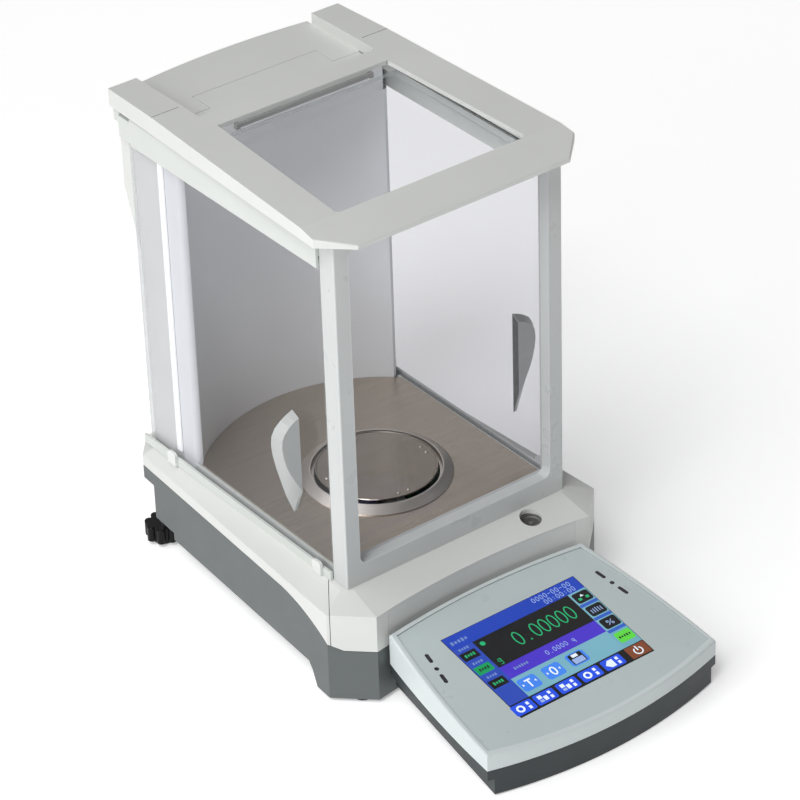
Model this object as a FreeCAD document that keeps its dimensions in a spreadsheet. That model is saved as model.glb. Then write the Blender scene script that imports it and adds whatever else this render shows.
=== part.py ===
import FreeCAD, Part
import Sketcher
import math
import os

# Analytical balance: a tapered two-part housing, a glazed weighing chamber with three
# sliding doors, a round pan inside a draft ring, and a tilted touch-screen console in
# front. X is the width, Y points to the rear, Z is up and the feet stand on Z = 0.

VECTOR = FreeCAD.Vector

DIMENSIONS = {
    # base housing
    "wall": 3.0,
    "front_x": 94.0,
    "front_y": -76.0,
    "front_hollow": 7.5,
    "panel_x": 82.6,
    "panel_y": -74.25,
    "panel_hollow": 5.75,
    "panel_bottom": 44.4,
    "panel_top": 72.4,
    "side_x": 119.0,
    "side_y": -52.3,
    "rear_side_x": 104.0,
    "rear_side_y": 191.0,
    "rear_x": 87.0,
    "rear_y": 211.0,
    "leg_bottom": 3.0,
    "belly": 20.0,
    "seam_side": 64.5,
    "seam_front": 43.5,
    "seam_gap": 0.5,
    "base_edge": 73.2,
    "deck": 80.0,
    "platform": 87.1,
    "overhang": 54.0,
    # weighing chamber
    "pan_y": 46.0,
    "chamber_radius": 126.0,
    "floor_x": 89.9,
    "floor_plate": 1.2,
    "frame_x": 95.6,
    "frame_y": -46.0,
    "frame_depth": 16.0,
    "frame_bar": 12.0,
    "frame_sill": 96.0,
    "frame_lintel": 344.0,
    "glass": 3.0,
    "door_x": 94.0,
    "door_front": -29.6,
    "door_rear": 189.6,
    "door_bottom": 81.0,
    "door_top": 336.0,
    "rail_inner": 90.2,
    "rail_outer": 97.8,
    "rail_top": 86.8,
    "rail_rear": 184.6,
    "upper_rail": 329.0,
    "ledge": 349.8,
    "column_front": 140.0,
    "column_joint": 156.0,
    "column_x": 90.7,
    # top cover
    "cover_rear": 207.0,
    "cover_front": -64.1,
    "cover_bottom": 352.0,
    "cover_height": 366.4,
    "cover_skin": 3.4,
    "opening_rear": 114.4,
    "opening_front": -29.6,
    "recess_x": 75.0,
    "recess_floor": 357.0,
    "recess_plate": 2.5,
    # pan, ring and feet
    "pan_radius": 44.0,
    "ring_inner": 47.2,
    "ring_outer": 55.0,
    "foot_x": 95.0,
    "foot_y": 184.0,
    "knob_radius": 14.0,
    "screw_radius": 3.0,
    "running_gap": 0.05,
    # console
    "console_y": -78.0,
    "console_height": 56.0,
    "console_tilt": 9.65,
    "console_rear_x": 85.3,
    "console_front_x": 100.7,
    "console_front_y": -203.4,
    "console_bulge": 14.0,
    "console_wall": 2.5,
    "screen_width": 117.4,
    "screen_depth": 88.0,
    "screen_y": -67.2,
}

DOC = FreeCAD.newDocument("analytical_balance")
PIECES = []


class Size:
    """A length that carries its number and the sheet expression it comes from."""

    def __init__(self, number, text=None):
        self.number = float(number)
        self.text = text if text else repr(float(number))

    def __add__(self, other):
        other = as_size(other)
        return Size(self.number + other.number, f"({self.text} + {other.text})")

    def __sub__(self, other):
        other = as_size(other)
        return Size(self.number - other.number, f"({self.text} - {other.text})")

    def __mul__(self, other):
        other = as_size(other)
        return Size(self.number * other.number, f"({self.text} * {other.text})")

    def __truediv__(self, other):
        other = as_size(other)
        return Size(self.number / other.number, f"({self.text} / {other.text})")

    def __neg__(self):
        return Size(-self.number, f"(0 - {self.text})")

    def __radd__(self, other):
        return as_size(other) + self

    def __rsub__(self, other):
        return as_size(other) - self

    def __rmul__(self, other):
        return as_size(other) * self


def as_size(value):
    return value if isinstance(value, Size) else Size(value)


class Sizes:
    """The spreadsheet of driving dimensions, read as attributes."""

    def __init__(self, table):
        self.sheet = DOC.addObject("Spreadsheet::Sheet", "dims")
        for row, (alias, number) in enumerate(table.items(), start=1):
            self.sheet.set(f"A{row}", alias)
            self.sheet.set(f"B{row}", str(number))
            self.sheet.setAlias(f"B{row}", alias)
        DOC.recompute()
        self.table = table

    def __getattr__(self, alias):
        return Size(self.table[alias], f"dims.{alias}")


S = Sizes(DIMENSIONS)


def bind(item, prop, value):
    """Set a property and, where it comes from the sheet, keep it bound."""
    value = as_size(value)
    if "." not in prop:
        setattr(item, prop, value.number)
    if "dims." in value.text or "." in prop:
        item.setExpression(prop, value.text)


def place(item, x=0, y=0, z=0):
    for axis, value in zip("xyz", (x, y, z)):
        bind(item, f"Placement.Base.{axis}", value)


def tilt_to_console(item):
    """Put a piece that was drawn flat onto the console's sloping face."""
    item.Placement.Rotation = FreeCAD.Rotation(VECTOR(1, 0, 0), DIMENSIONS["console_tilt"])
    item.setExpression("Placement.Rotation.Angle", "dims.console_tilt")
    place(item, 0, S.console_y, S.console_height)


def piece(item, label):
    """Name a finished piece; it is written under this label."""
    item.Label = label
    PIECES.append(item)
    return item


# ---------------------------------------------------------------- sketches


def arc_radius(start, end, sagitta):
    dx = end[0] - start[0]
    dy = end[1] - start[1]
    return (dx * dx + dy * dy) / (8 * sagitta) + sagitta / 2


def draw_outline(sketch, outline):
    """Draw a closed outline of (x, y) or (x, y, sagitta) points, every point bound.

    A sagitta bows the edge that starts at its point to the right of the way along it.
    """
    count = len(outline)
    corners = [(as_size(point[0]), as_size(point[1])) for point in outline]
    first = sketch.GeometryCount
    constraints = []
    bound = []
    for index, point in enumerate(outline):
        start = corners[index]
        end = corners[(index + 1) % count]
        here = VECTOR(start[0].number, start[1].number, 0)
        there = VECTOR(end[0].number, end[1].number, 0)
        if len(point) < 3:
            sketch.addGeometry(Part.LineSegment(here, there), False)
            continue
        sagitta = as_size(point[2])
        way = (there - here).normalize()
        middle = (here + there) * 0.5 + VECTOR(way.y, -way.x, 0) * sagitta.number
        sketch.addGeometry(Part.Arc(here, middle, there), False)
        size = Size(abs(sagitta.number), f"abs({sagitta.text})")
        bound.append((first + index, arc_radius(start, end, size)))
    ends = []
    for index in range(count):
        here = VECTOR(corners[index][0].number, corners[index][1].number, 0)
        starts_here = (sketch.getPoint(first + index, 1) - here).Length < 1e-6
        ends.append((1, 2) if starts_here else (2, 1))
    for index in range(count):
        following = (index + 1) % count
        constraints.append(Sketcher.Constraint(
            "Coincident", first + index, ends[index][1], first + following, ends[following][0]))
    for index, corner in enumerate(corners):
        for kind, value in (("DistanceX", corner[0]), ("DistanceY", corner[1])):
            constraints.append(Sketcher.Constraint(
                kind, -1, 1, first + index, ends[index][0], value.number))
    for geometry, radius in bound:
        constraints.append(Sketcher.Constraint("Radius", geometry, radius.number))
    offset = sketch.ConstraintCount
    sketch.addConstraint(constraints)
    values = [value for corner in corners for value in corner] + [radius for _, radius in bound]
    for index, value in enumerate(values):
        if "dims." in value.text:
            sketch.setExpression(f"Constraints[{offset + count + index}]", value.text)


def draw_circle(sketch, x, y, radius):
    x, y, radius = as_size(x), as_size(y), as_size(radius)
    centre = VECTOR(x.number, y.number, 0)
    index = sketch.addGeometry(Part.Circle(centre, VECTOR(0, 0, 1), radius.number), False)
    for kind, value in (("DistanceX", x), ("DistanceY", y)):
        number = sketch.addConstraint(Sketcher.Constraint(kind, -1, 1, index, 3, value.number))
        if "dims." in value.text:
            sketch.setExpression(f"Constraints[{number}]", value.text)
    number = sketch.addConstraint(Sketcher.Constraint("Radius", index, radius.number))
    if "dims." in radius.text:
        sketch.setExpression(f"Constraints[{number}]", radius.text)


def draw(sketch, shapes):
    """Draw outlines (lists of points) and circles (x, y, radius tuples)."""
    for shape in shapes:
        if isinstance(shape, tuple):
            draw_circle(sketch, *shape)
        else:
            draw_outline(sketch, shape)


PLANES = {
    "XY": FreeCAD.Rotation(),
    "XZ": FreeCAD.Rotation(VECTOR(1, 0, 0), 90),
    "YZ": FreeCAD.Rotation(VECTOR(1, 1, 1), 120),
}


# ---------------------------------------------------------------- Part pieces


def prism(name, plane, shapes, start, length, symmetric=False):
    """Extrude closed shapes drawn on a plane, from start along the plane's normal."""
    sketch = DOC.addObject("Sketcher::SketchObject", name + "_sketch")
    sketch.Placement.Rotation = PLANES[plane]
    draw(sketch, shapes)
    axis, sign = {"XY": ("z", 1), "XZ": ("y", -1), "YZ": ("x", 1)}[plane]
    bind(sketch, f"Placement.Base.{axis}", sign * as_size(start))
    solid = DOC.addObject("Part::Extrusion", name)
    solid.Base = sketch
    solid.DirMode = "Normal"
    solid.Solid = True
    solid.Symmetric = symmetric
    bind(solid, "LengthFwd", length)
    return solid


def box(name, x, y, z, width, depth, height):
    solid = DOC.addObject("Part::Box", name)
    bind(solid, "Length", width)
    bind(solid, "Width", depth)
    bind(solid, "Height", height)
    place(solid, x, y, z)
    return solid


def cylinder(name, x, y, z, radius, height, axis=None):
    solid = DOC.addObject("Part::Cylinder", name)
    bind(solid, "Radius", radius)
    bind(solid, "Height", height)
    if axis:
        solid.Placement.Rotation = FreeCAD.Rotation(VECTOR(0, 0, 1), axis)
    place(solid, x, y, z)
    return solid


def cut(name, base, *tools):
    for index, tool in enumerate(tools):
        result = DOC.addObject("Part::Cut", f"{name}_cut{index}")
        result.Base = base
        result.Tool = tool
        base = result
    return base


def fuse(name, *shapes):
    result = DOC.addObject("Part::MultiFuse", name)
    result.Shapes = list(shapes)
    result.Refine = True
    return result


def common(name, first, second):
    result = DOC.addObject("Part::Common", name)
    result.Base = first
    result.Tool = second
    return result


def group(name, *shapes):
    """Several separate solids that share one node."""
    result = DOC.addObject("Part::Compound", name)
    result.Links = list(shapes)
    return result


def edges_where(shape, test):
    """Numbers of the edges whose ends and middle all pass a test."""
    found = []
    for number, edge in enumerate(shape.Edges, start=1):
        middle = edge.valueAt((edge.FirstParameter + edge.LastParameter) / 2)
        if all(test(point) for point in [vertex.Point for vertex in edge.Vertexes] + [middle]):
            found.append(number)
    return found


def fillet(name, base, radius, test):
    DOC.recompute()
    result = DOC.addObject("Part::Fillet", name)
    result.Base = base
    result.Edges = [(number, radius, radius) for number in edges_where(base.Shape, test)]
    return result


# ---------------------------------------------------------------- PartDesign pieces


def new_body(name):
    return DOC.addObject("PartDesign::Body", name)


def body_sketch(body, name, plane, shapes, start=0):
    sketch = body.newObject("Sketcher::SketchObject", name)
    role = plane + "_Plane"
    origin = next(item for item in body.Origin.OriginFeatures if item.Role == role)
    sketch.AttachmentSupport = (origin, [""])
    sketch.MapMode = "FlatFace"
    draw(sketch, shapes)
    bind(sketch, "AttachmentOffset.Base.z", start)
    return sketch


def pad(body, name, plane, shapes, start, length, symmetric=False):
    feature = body.newObject("PartDesign::Pad", name)
    feature.Profile = body_sketch(body, name + "_sketch", plane, shapes, start)
    feature.Midplane = symmetric
    bind(feature, "Length", length)
    return feature


def pocket(body, name, plane, shapes, start, length, symmetric=False):
    """Cut along the plane's normal from start, and make sure that something goes."""
    DOC.recompute()
    before = body.Shape.Volume
    feature = body.newObject("PartDesign::Pocket", name)
    feature.Profile = body_sketch(body, name + "_sketch", plane, shapes, start)
    feature.Midplane = symmetric
    feature.Reversed = not symmetric
    bind(feature, "Length", length)
    DOC.recompute()
    if body.Shape.Volume > before - 1e-3:
        raise RuntimeError(f"{name} cuts nothing")
    return feature


def revolve(body, name, outline):
    """Turn a (radius, height) outline about the body's Z axis."""
    feature = body.newObject("PartDesign::Revolution", name)
    sketch = body_sketch(body, name + "_sketch", "XZ", [outline])
    feature.Profile = sketch
    feature.ReferenceAxis = (sketch, ["V_Axis"])
    feature.Angle = 360
    return feature


def round_edges(body, name, radius, test):
    DOC.recompute()
    base = body.Tip
    feature = body.newObject("PartDesign::Fillet", name)
    feature.Base = (base, [f"Edge{number}" for number in edges_where(base.Shape, test)])
    feature.Radius = radius
    return feature


def turned(name, label, outline, x=0, y=0, z=0):
    body = new_body(name)
    revolve(body, name + "_turn", outline)
    place(body, x, y, z)
    return piece(body, label)


# ---------------------------------------------------------------- shared outlines


def rectangle(x0, y0, x1, y1):
    return [(x0, y0), (x1, y0), (x1, y1), (x0, y1)]


def base_outline(inset=0):
    """The housing's plan: hollow front, chamfered front corners, sides that taper back."""
    slant = 0.414 * as_size(inset)
    return [
        (-(S.front_x - slant), S.front_y + inset, -S.front_hollow),
        (S.front_x - slant, S.front_y + inset),
        (S.side_x - inset, S.side_y + slant),
        (S.rear_side_x - inset, S.rear_side_y - slant),
        (S.rear_x - slant, S.rear_y - inset),
        (-(S.rear_x - slant), S.rear_y - inset),
        (-(S.rear_side_x - inset), S.rear_side_y - slant),
        (-(S.side_x - inset), S.side_y + slant),
    ]


def seam_line(gap, far_z):
    """Side view (Y, Z) of the housing seam, closed through far_z: it dips to the front."""
    return [
        (S.front_y - 10, far_z),
        (S.rear_y + 20, far_z),
        (S.rear_y + 20, S.seam_side + gap),
        (4, S.seam_side + gap, 4.5),
        (-60, S.seam_front + gap),
        (S.front_y - 10, S.seam_front + gap),
    ]


def column_arc_y(x, radius):
    """Depth of the chamber's round rear wall at a half width x."""
    return Size(math.sqrt(radius.number ** 2 - as_size(x).number ** 2),
                f"sqrt({radius.text} * {radius.text} - {as_size(x).text} * {as_size(x).text})")


def round_back(x, radius):
    """Corner depth and sagitta of the chamber's rear arc between -x and x."""
    reach = column_arc_y(x, radius)
    return S.pan_y + reach, radius - reach


def console_outline(inset=0):
    """The console's plan: bowed front, sides and rear, wider to the front."""
    return [
        (-(S.console_front_x - inset), S.console_front_y + inset, S.console_bulge),
        (S.console_front_x - inset, S.console_front_y + inset, 2.5),
        (S.console_rear_x - inset, S.console_y - inset, 5.5),
        (-(S.console_rear_x - inset), S.console_y - inset, 2.5),
    ]


def console_band(top, bottom):
    """Side view (Y, Z) of a slice of the console between two sloping planes.

    Each plane is given by its height at the console's rear edge and at its front corners.
    """
    near = S.console_y + 20
    far = S.console_front_y - 30
    points = []
    for (rear_z, front_z), order in ((bottom, 1), (top, -1)):
        slope = (as_size(rear_z) - front_z) / (S.console_y - S.console_front_y)
        pair = [(far, front_z - slope * 30), (near, rear_z + slope * 20)]
        points += pair[::order]
    return points


def loft(name, low, low_z, high, high_z):
    """A ruled solid between two outlines with the same number of edges."""
    sections = []
    for part_name, outline, height in (("low", low, low_z), ("high", high, high_z)):
        sketch = DOC.addObject("Sketcher::SketchObject", f"{name}_{part_name}")
        draw(sketch, [outline])
        bind(sketch, "Placement.Base.z", height)
        sections.append(sketch)
    result = DOC.addObject("Part::Loft", name)
    result.Sections = sections
    result.Solid = True
    result.Ruled = True
    return result


def floor_outline(inset=0):
    """The chamber floor: straight front and sides, round back."""
    half = S.floor_x - inset
    corner_y, sagitta = round_back(half, S.chamber_radius - 0.3 - inset)
    front = S.frame_y + S.frame_depth + 0.4 + inset
    return [(-half, front), (half, front), (half, corner_y, sagitta), (-half, corner_y)]


# ---------------------------------------------------------------- base housing


def tray_form(name, inset, bottom):
    """The tray's plan raised from bottom, less the stepped rear corners over the feet."""
    form = prism(name + "_plan", "XY", [base_outline(inset)], bottom, 90 - bottom)
    corners = []
    for side in (-1, 1):
        low = 78 - inset if side > 0 else -130
        width = 52 + inset
        step = f"{name}_step{side + 1}"
        corners.append(box(step, low, 177.5 - inset, 0, width, 60, S.overhang + inset))
        corners.append(box(step + "_low", low, 152.5 - inset, 0, width, 60, 26 + inset))
    return cut(name, form, *corners)


def make_lower_housing():
    """Dark grey tray: two front legs, a raised belly and stepped rear corners."""
    above = prism("tray_above", "YZ", [seam_line(0, 95)], 0, 300, symmetric=True)
    belly = prism("tray_belly", "YZ", [[
        (-38, 0), (240, 0), (240, S.belly), (-27, S.belly), (-31.6, 14.3)]],
        0, 300, symmetric=True)
    arch = box("tray_arch", -72, -95, 0, 144, 70, S.belly)
    outer = tray_form("tray_outer", 0, DIMENSIONS["leg_bottom"])
    inner = tray_form("tray_inner", DIMENSIONS["wall"], 23)
    shell = cut("tray", outer, inner, above, belly, arch)
    holes = [cylinder(f"tray_foot_hole{side + 1}", side * S.foot_x, S.foot_y, 50, 5.5, 12)
             for side in (-1, 1)]
    holes += [cylinder(f"tray_screw_hole{number}", x, y, 15, 2.1, 12)
              for number, (x, y) in enumerate(POST_PLACES)]
    ports = [box("tray_power_port", -52, 205, 34, 12, 10, 11),
             box("tray_data_port", 20, 205, 33, 31, 10, 12.4)]
    piece(cut("tray_open", shell, *holes, *ports), "lower_housing")


POST_PLACES = [(-80, 20), (80, 20), (-66, 140), (66, 140)]


def deck_outline(inset=0):
    """The flat deck inside the sloping edge of the upper housing."""
    slant = 0.414 * as_size(inset)
    return [
        (-(92 - slant), -48 + inset, -1.0),
        (92 - slant, -48 + inset),
        (99 - inset, -43 + slant),
        (94.5 - inset, 186 - slant),
        (80 - slant, 201 - inset),
        (-(80 - slant), 201 - inset),
        (-(94.5 - inset), 186 - slant),
        (-(99 - inset), -43 + slant),
    ]


def make_upper_housing():
    """Light grey top shell: sloping edge, raised chamber floor and screw posts."""
    low = S.seam_front + S.seam_gap
    wall = S.wall
    skirt = prism("hood_skirt", "XY", [base_outline()], low, S.base_edge - low)
    roof = loft("hood_roof", base_outline(), S.base_edge, deck_outline(), S.deck)
    platform = prism("hood_platform", "XY", [floor_outline()], S.deck - 1,
                     S.platform - S.deck + 1)
    solid = fuse("hood_solid", skirt, roof, platform)
    inner = fuse("hood_inner",
                 prism("hood_hollow", "XY", [base_outline(wall)], 30, S.base_edge - wall - 30),
                 loft("hood_ceiling", base_outline(wall), S.base_edge - wall,
                      deck_outline(wall), S.deck - wall),
                 prism("hood_under_floor", "XY", [floor_outline(wall)], S.deck - wall - 1,
                       S.platform - S.deck + 1))
    below = prism("hood_below", "YZ", [seam_line(S.seam_gap, 20)], 0, 300, symmetric=True)
    shell = cut("hood_shell", solid, inner, below)
    posts = [cylinder(f"hood_post{number}", x, y, 23.2, 5, 55)
             for number, (x, y) in enumerate(POST_PLACES)]
    bores = [cylinder(f"hood_bore{number}", x, y, 20, 2, 40)
             for number, (x, y) in enumerate(POST_PLACES)]
    bores.append(cylinder("hood_pan_hole", 0, S.pan_y, 60, 46, 40))
    bores.append(cylinder("hood_vial_hole", *VIAL_PLACE, 60, 7.9, 30))
    recess = prism("hood_panel_recess", "XY", [front_panel_outline(0.3)], 40,
                   S.panel_top + 0.3 - 40)
    core = fuse("hood_core",
                prism("hood_core_skirt", "XY", [base_outline(0.8)], 40, S.base_edge - 40.6),
                loft("hood_core_roof", base_outline(0.8), S.base_edge - 0.6,
                     deck_outline(0.8), S.deck - 0.8))
    strip = prism("hood_joint_strip", "XY", [[
        (-98.3, -27.3), (-121.2, -58.9), (-120.8, -59.2), (-97.9, -27.6)]], 40, 50)
    groove = cut("hood_joint", strip, core)
    body = cut("hood_cut", fuse("hood_fused", shell, *posts), *bores, recess, groove)
    piece(body, "upper_housing")


VIAL_PLACE = (57.6, -55.9)


def front_panel_outline(grow):
    """The thin bowed panel in the housing's hollow front."""
    front = S.panel_y - 4 * grow
    back = S.panel_y + 1.6 + grow
    half = S.panel_x + grow
    return [(-half, front, -S.panel_hollow), (half, front), (half, back, S.panel_hollow),
            (-half, back)]


def make_front_panel():
    piece(prism("panel_plate", "XY", [front_panel_outline(0)], S.panel_bottom,
                S.panel_top - S.panel_bottom), "front_panel")


def make_front_feet():
    for side, name in ((-1, "left"), (1, "right")):
        turned(f"foot_{name}", f"front_foot_{name}",
               [(0, 0), (6.4, 0), (7, 0.8), (7, S.leg_bottom), (0, S.leg_bottom)],
               side * 97, -61, 0)


def make_housing_screws():
    """Four countersunk-style pan screws that pull the two shells together."""
    screws = []
    for number, (x, y) in enumerate(POST_PLACES):
        head = cylinder(f"screw_head{number}", x, y, 17.6, 4, S.belly - 17.6)
        shank = cylinder(f"screw_shank{number}", x, y, S.belly - 0.5, 1.95, 38)
        drive = box(f"screw_drive{number}", x - 0.5, y - 3, 17, 1, 6, 1.6)
        screws.append(cut(f"screw{number}", fuse(f"screw_solid{number}", head, shank), drive))
    piece(group("screws", *screws), "housing_screws")


# ---------------------------------------------------------------- levelling feet


def make_levelling_foot(side, name):
    """Star knob on a steel screw that turns in a ground pad and a brass bush."""
    x = side * S.foot_x
    gap = S.running_gap
    turned(f"pad_{name}", f"level_pad_{name}",
           [(0, 0), (8.5, 0), (9, 0.6), (9, 1.8), (7.5, 3), (2.5 + gap, 3), (2.5 + gap, 1.2),
            (0, 1.2)], x, S.foot_y)
    turned(f"screw_{name}", f"level_screw_{name}",
           [(0, 1.25), (2.5, 1.25), (2.5, 3.1), (S.screw_radius, 3.1), (S.screw_radius, 65.4),
            (S.screw_radius - 0.6, 66), (0, 66)], x, S.foot_y)
    turned(f"bush_{name}", f"foot_bush_{name}",
           [(S.screw_radius + gap, S.overhang), (5.45, S.overhang), (5.45, S.overhang + 3.05),
            (6.2, S.overhang + 3.05), (6.2, S.overhang + 4.5),
            (S.screw_radius + gap, S.overhang + 4.5)],
           x, S.foot_y)
    knob = new_body(f"knob_{name}")
    hub = S.knob_radius - 3.4
    pad(knob, "hub", "XY", [(0, 0, hub)], 3.2, 12)
    lobe = pad(knob, "lobe", "XY", [(hub, 0, 3.4)], 3.2, 12)
    pattern = knob.newObject("PartDesign::PolarPattern", "lobes")
    pattern.Originals = [lobe]
    axis = next(item for item in knob.Origin.OriginFeatures if item.Role == "Z_Axis")
    pattern.Axis = (axis, [""])
    pattern.Angle = 360
    pattern.Occurrences = 8
    knob.Tip = pattern
    pocket(knob, "bore", "XY", [(0, 0, S.screw_radius)], 3, 13)
    round_edges(knob, "soft_rims", 0.9,
                lambda p: abs(p.z - 15.2) < 1e-4 and math.hypot(p.x, p.y) > 6)
    place(knob, x, S.foot_y)
    piece(knob, f"level_knob_{name}")


# ---------------------------------------------------------------- weighing parts


def make_floor_plate():
    body = new_body("floor")
    pad(body, "sheet", "XY", [floor_outline(), (0, S.pan_y, 46)], S.platform, S.floor_plate)
    piece(body, "floor_plate")


def make_draft_ring():
    """Steel ring: a spigot in the floor hole and a cone that rises to the pan."""
    top = S.platform + S.floor_plate
    inner = S.ring_inner
    outer = S.ring_outer
    turned("ring", "draft_ring",
           [(45.0, top - 3.5), (45.8, top - 3.5), (45.8, top), (outer, top),
            (outer, top + 0.7), (inner + 0.7, top + 4.8), (inner, top + 4.8),
            (inner, top + 3.9), (outer - 3.2, top + 0.8), (45.0, top + 0.8)], 0, S.pan_y)


def make_pan():
    """Steel pan with a rolled rim and a socket that drops over the spindle."""
    top = S.platform + S.floor_plate + 5.8
    rim = S.pan_radius
    turned("pan", "weighing_pan",
           [(0, 90), (4.0 + S.running_gap, 90), (4.0 + S.running_gap, 78), (8, 78), (8, 89.5),
            (12, top - 1.2), (rim - 0.9, top - 1.2), (rim, top - 0.7), (rim, top + 0.1),
            (rim - 0.4, top + 0.5), (rim - 0.9, top + 0.4), (rim - 1.5, top), (0, top)],
           0, S.pan_y)
    turned("spindle", "pan_spindle",
           [(0, 58), (14, 58), (14, 61), (6, 62.5), (4, 64), (4, 89.4), (3.4, 89.98),
            (0, 89.98)], 0, S.pan_y)


def make_weighing_cell():
    """The load cell: a slotted lever block with its magnet, on a thick plate."""
    piece(box("cell_plate", -40, -20, 23, 80, 172, 4), "cell_base_plate")
    block = box("cell_block", -22, -8, 27, 44, 118, 31)
    slots = [box("cell_slot_low", -30, 4, 33, 60, 92, 2.2),
             box("cell_slot_high", -30, 4, 50, 60, 92, 2.2),
             box("cell_window", -30, 14, 38, 60, 70, 9)]
    pivots = [cylinder(f"cell_pivot{number}", -30, y, z, 2.6, 60, VECTOR(1, 0, 0))
              for number, (y, z) in enumerate(((4, 34.1), (96, 34.1), (4, 51.1), (96, 51.1)))]
    piece(cut("cell", block, *slots, *pivots), "weighing_cell")
    turned("magnet", "cell_magnet",
           [(0, 27), (19, 27), (20, 28), (20, 50), (19, 51), (8, 51), (8, 44), (0, 44)],
           0, 131)


def make_electronics():
    standoffs = [cylinder(f"standoff{number}", x, y, 23, 2.5, 7)
                 for number, (x, y) in enumerate(((51, 36), (91, 36), (51, 116), (91, 116)))]
    piece(group("standoffs", *standoffs), "board_standoffs")
    board = prism("board", "XY", [rectangle(46, 31, 96, 121)], 30, 1.6)
    piece(board, "main_board")
    jack = cut("jack_hollow", box("jack_body", -52, 199, 34, 12, 12.6, 11),
               cylinder("jack_bore", -46, 202, 39.5, 2.8, 12, VECTOR(0, 1, 0)))
    pin = cylinder("jack_pin", -46, 200, 39.5, 0.9, 10, VECTOR(0, 1, 0))
    piece(fuse("jack", jack, pin), "power_inlet")
    flange = box("port_flange", 20, 201, 33, 31, 10.6, 12.4)
    mouth = prism("port_mouth", "XZ", [[
        (27.4, 35.2), (43.6, 35.2), (45.0, 43.4), (26.0, 43.4)]], -220, 14)
    core = prism("port_core", "XZ", [[
        (28.6, 36.2), (42.4, 36.2), (43.6, 42.4), (27.4, 42.4)]], -211, 9)
    piece(fuse("port", cut("port_shell", flange, mouth), core), "data_port")


def make_level_vial():
    turned("vial", "level_vial_body",
           [(0, 60), (7.2, 60), (7.2, 70), (7.8, 72), (7.8, 75.4), (6.6, 75.4), (6.6, 63),
            (0, 63)], *VIAL_PLACE)
    turned("vial_dome", "level_vial_glass",
           [(0, 63.1), (6.5, 63.1), (6.5, 74.4), (5.6, 74.9), (0, 75.2)], *VIAL_PLACE)


# ---------------------------------------------------------------- chamber


def mirrored(side, outline):
    """Flip an (x, z) outline for the left side and keep its turning sense."""
    if side > 0:
        return outline
    return [(-as_size(x), z) for x, z in reversed(outline)]


def along_y(name, shapes, y_front, y_rear):
    """A profile in X and Z that runs from y_front to y_rear, as a body."""
    body = new_body(name)
    pad(body, name + "_run", "XZ", shapes, -as_size(y_rear), as_size(y_rear) - y_front)
    return body


def make_rails(side, name):
    """The lower and upper door tracks of one side, with their clips and end block."""
    inner = S.rail_inner
    outer = S.rail_outer
    slot_in = S.door_x - S.glass / 2 - 0.3
    slot_out = S.door_x + S.glass / 2 + 0.3
    front = S.frame_y + S.frame_depth
    groove = S.door_bottom - 0.3
    lower = mirrored(side, [
        (inner, S.deck), (outer, S.deck), (outer, S.rail_top), (slot_out, S.rail_top),
        (slot_out, groove), (slot_in, groove), (slot_in, S.rail_top), (inner, S.rail_top)])
    rail = along_y(f"low_rail_{name}", [lower], front, 196)
    rear_cut = rectangle(side * inner, S.column_front - 0.4, side * (S.column_x + 1.7), 200)
    if side < 0:
        rear_cut = rectangle(-S.column_x - 1.7, S.column_front - 0.4, -inner, 200)
    pocket(rail, f"low_rail_relief_{name}", "XY", [rear_cut], S.deck - 1, 12)
    piece(rail, f"lower_rail_{name}")
    upper = mirrored(side, [
        (inner, S.upper_rail), (slot_in, S.upper_rail), (slot_in, S.door_top + 2),
        (slot_out, S.door_top + 2), (slot_out, S.upper_rail), (outer, S.upper_rail),
        (outer, S.ledge), (outer - 2.8, S.ledge + 1.7), (outer - 2.8, 357), (89.6, 357),
        (89.6, S.ledge), (86, S.ledge), (86, 345), (inner, 341)])
    rail = along_y(f"high_rail_{name}", [upper], front, S.rail_rear)
    round_edges(rail, "soft_rail", 0.8,
                lambda p: abs(abs(p.x) - DIMENSIONS["rail_outer"]) < 1e-4 and
                (abs(p.z - DIMENSIONS["upper_rail"]) < 1e-4 or
                 abs(p.z - DIMENSIONS["ledge"]) < 1e-4))
    piece(rail, f"upper_rail_{name}")
    block = mirrored(side, [
        (inner, S.upper_rail + 1.6), (slot_in, S.upper_rail + 1.6), (slot_in, S.door_top + 2),
        (slot_out, S.door_top + 2), (slot_out, S.upper_rail + 1.6),
        (outer - 0.8, S.upper_rail + 1.6), (outer - 0.8, 347.2), (inner, 347.2)])
    end = along_y(f"rail_end_{name}", [block], S.rail_rear + 0.3, 199.5)
    lug = mirrored(side, [(94, 341), (96, 341), (96, 347.2), (96, 351.6), (94, 351.6)])
    pad(end, f"rail_end_lug_{name}", "XZ", [lug], -206.2, 7)
    piece(end, f"rail_end_{name}")
    clips = []
    for number, y in enumerate((-16.5, 158.5)):
        tab = [(y - 4.7, S.deck + 0.4), (y + 4.7, S.deck + 0.4), (y + 4.7, 87.2, 1.2),
               (y + 2.2, 90.6), (y - 1.6, 90.6, 1.6), (y - 4.7, 86.6)]
        start = outer + 0.1 if side > 0 else -outer - 2.3
        clips.append(prism(f"clip_{name}{number}", "YZ", [tab], start, 2.2))
    piece(group(f"clips_{name}", *clips), f"rail_clips_{name}")


def rounded_rectangle(x0, y0, x1, y1, radius):
    """A rectangle with quarter-round corners, as an outline with bowed corner edges."""
    bow = radius * (1 - math.sqrt(0.5))
    return [(x0 + radius, y0), (x1 - radius, y0, bow), (x1, y0 + radius),
            (x1, y1 - radius, bow), (x1 - radius, y1), (x0 + radius, y1, bow),
            (x0, y1 - radius), (x0, y0 + radius, bow)]


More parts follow.
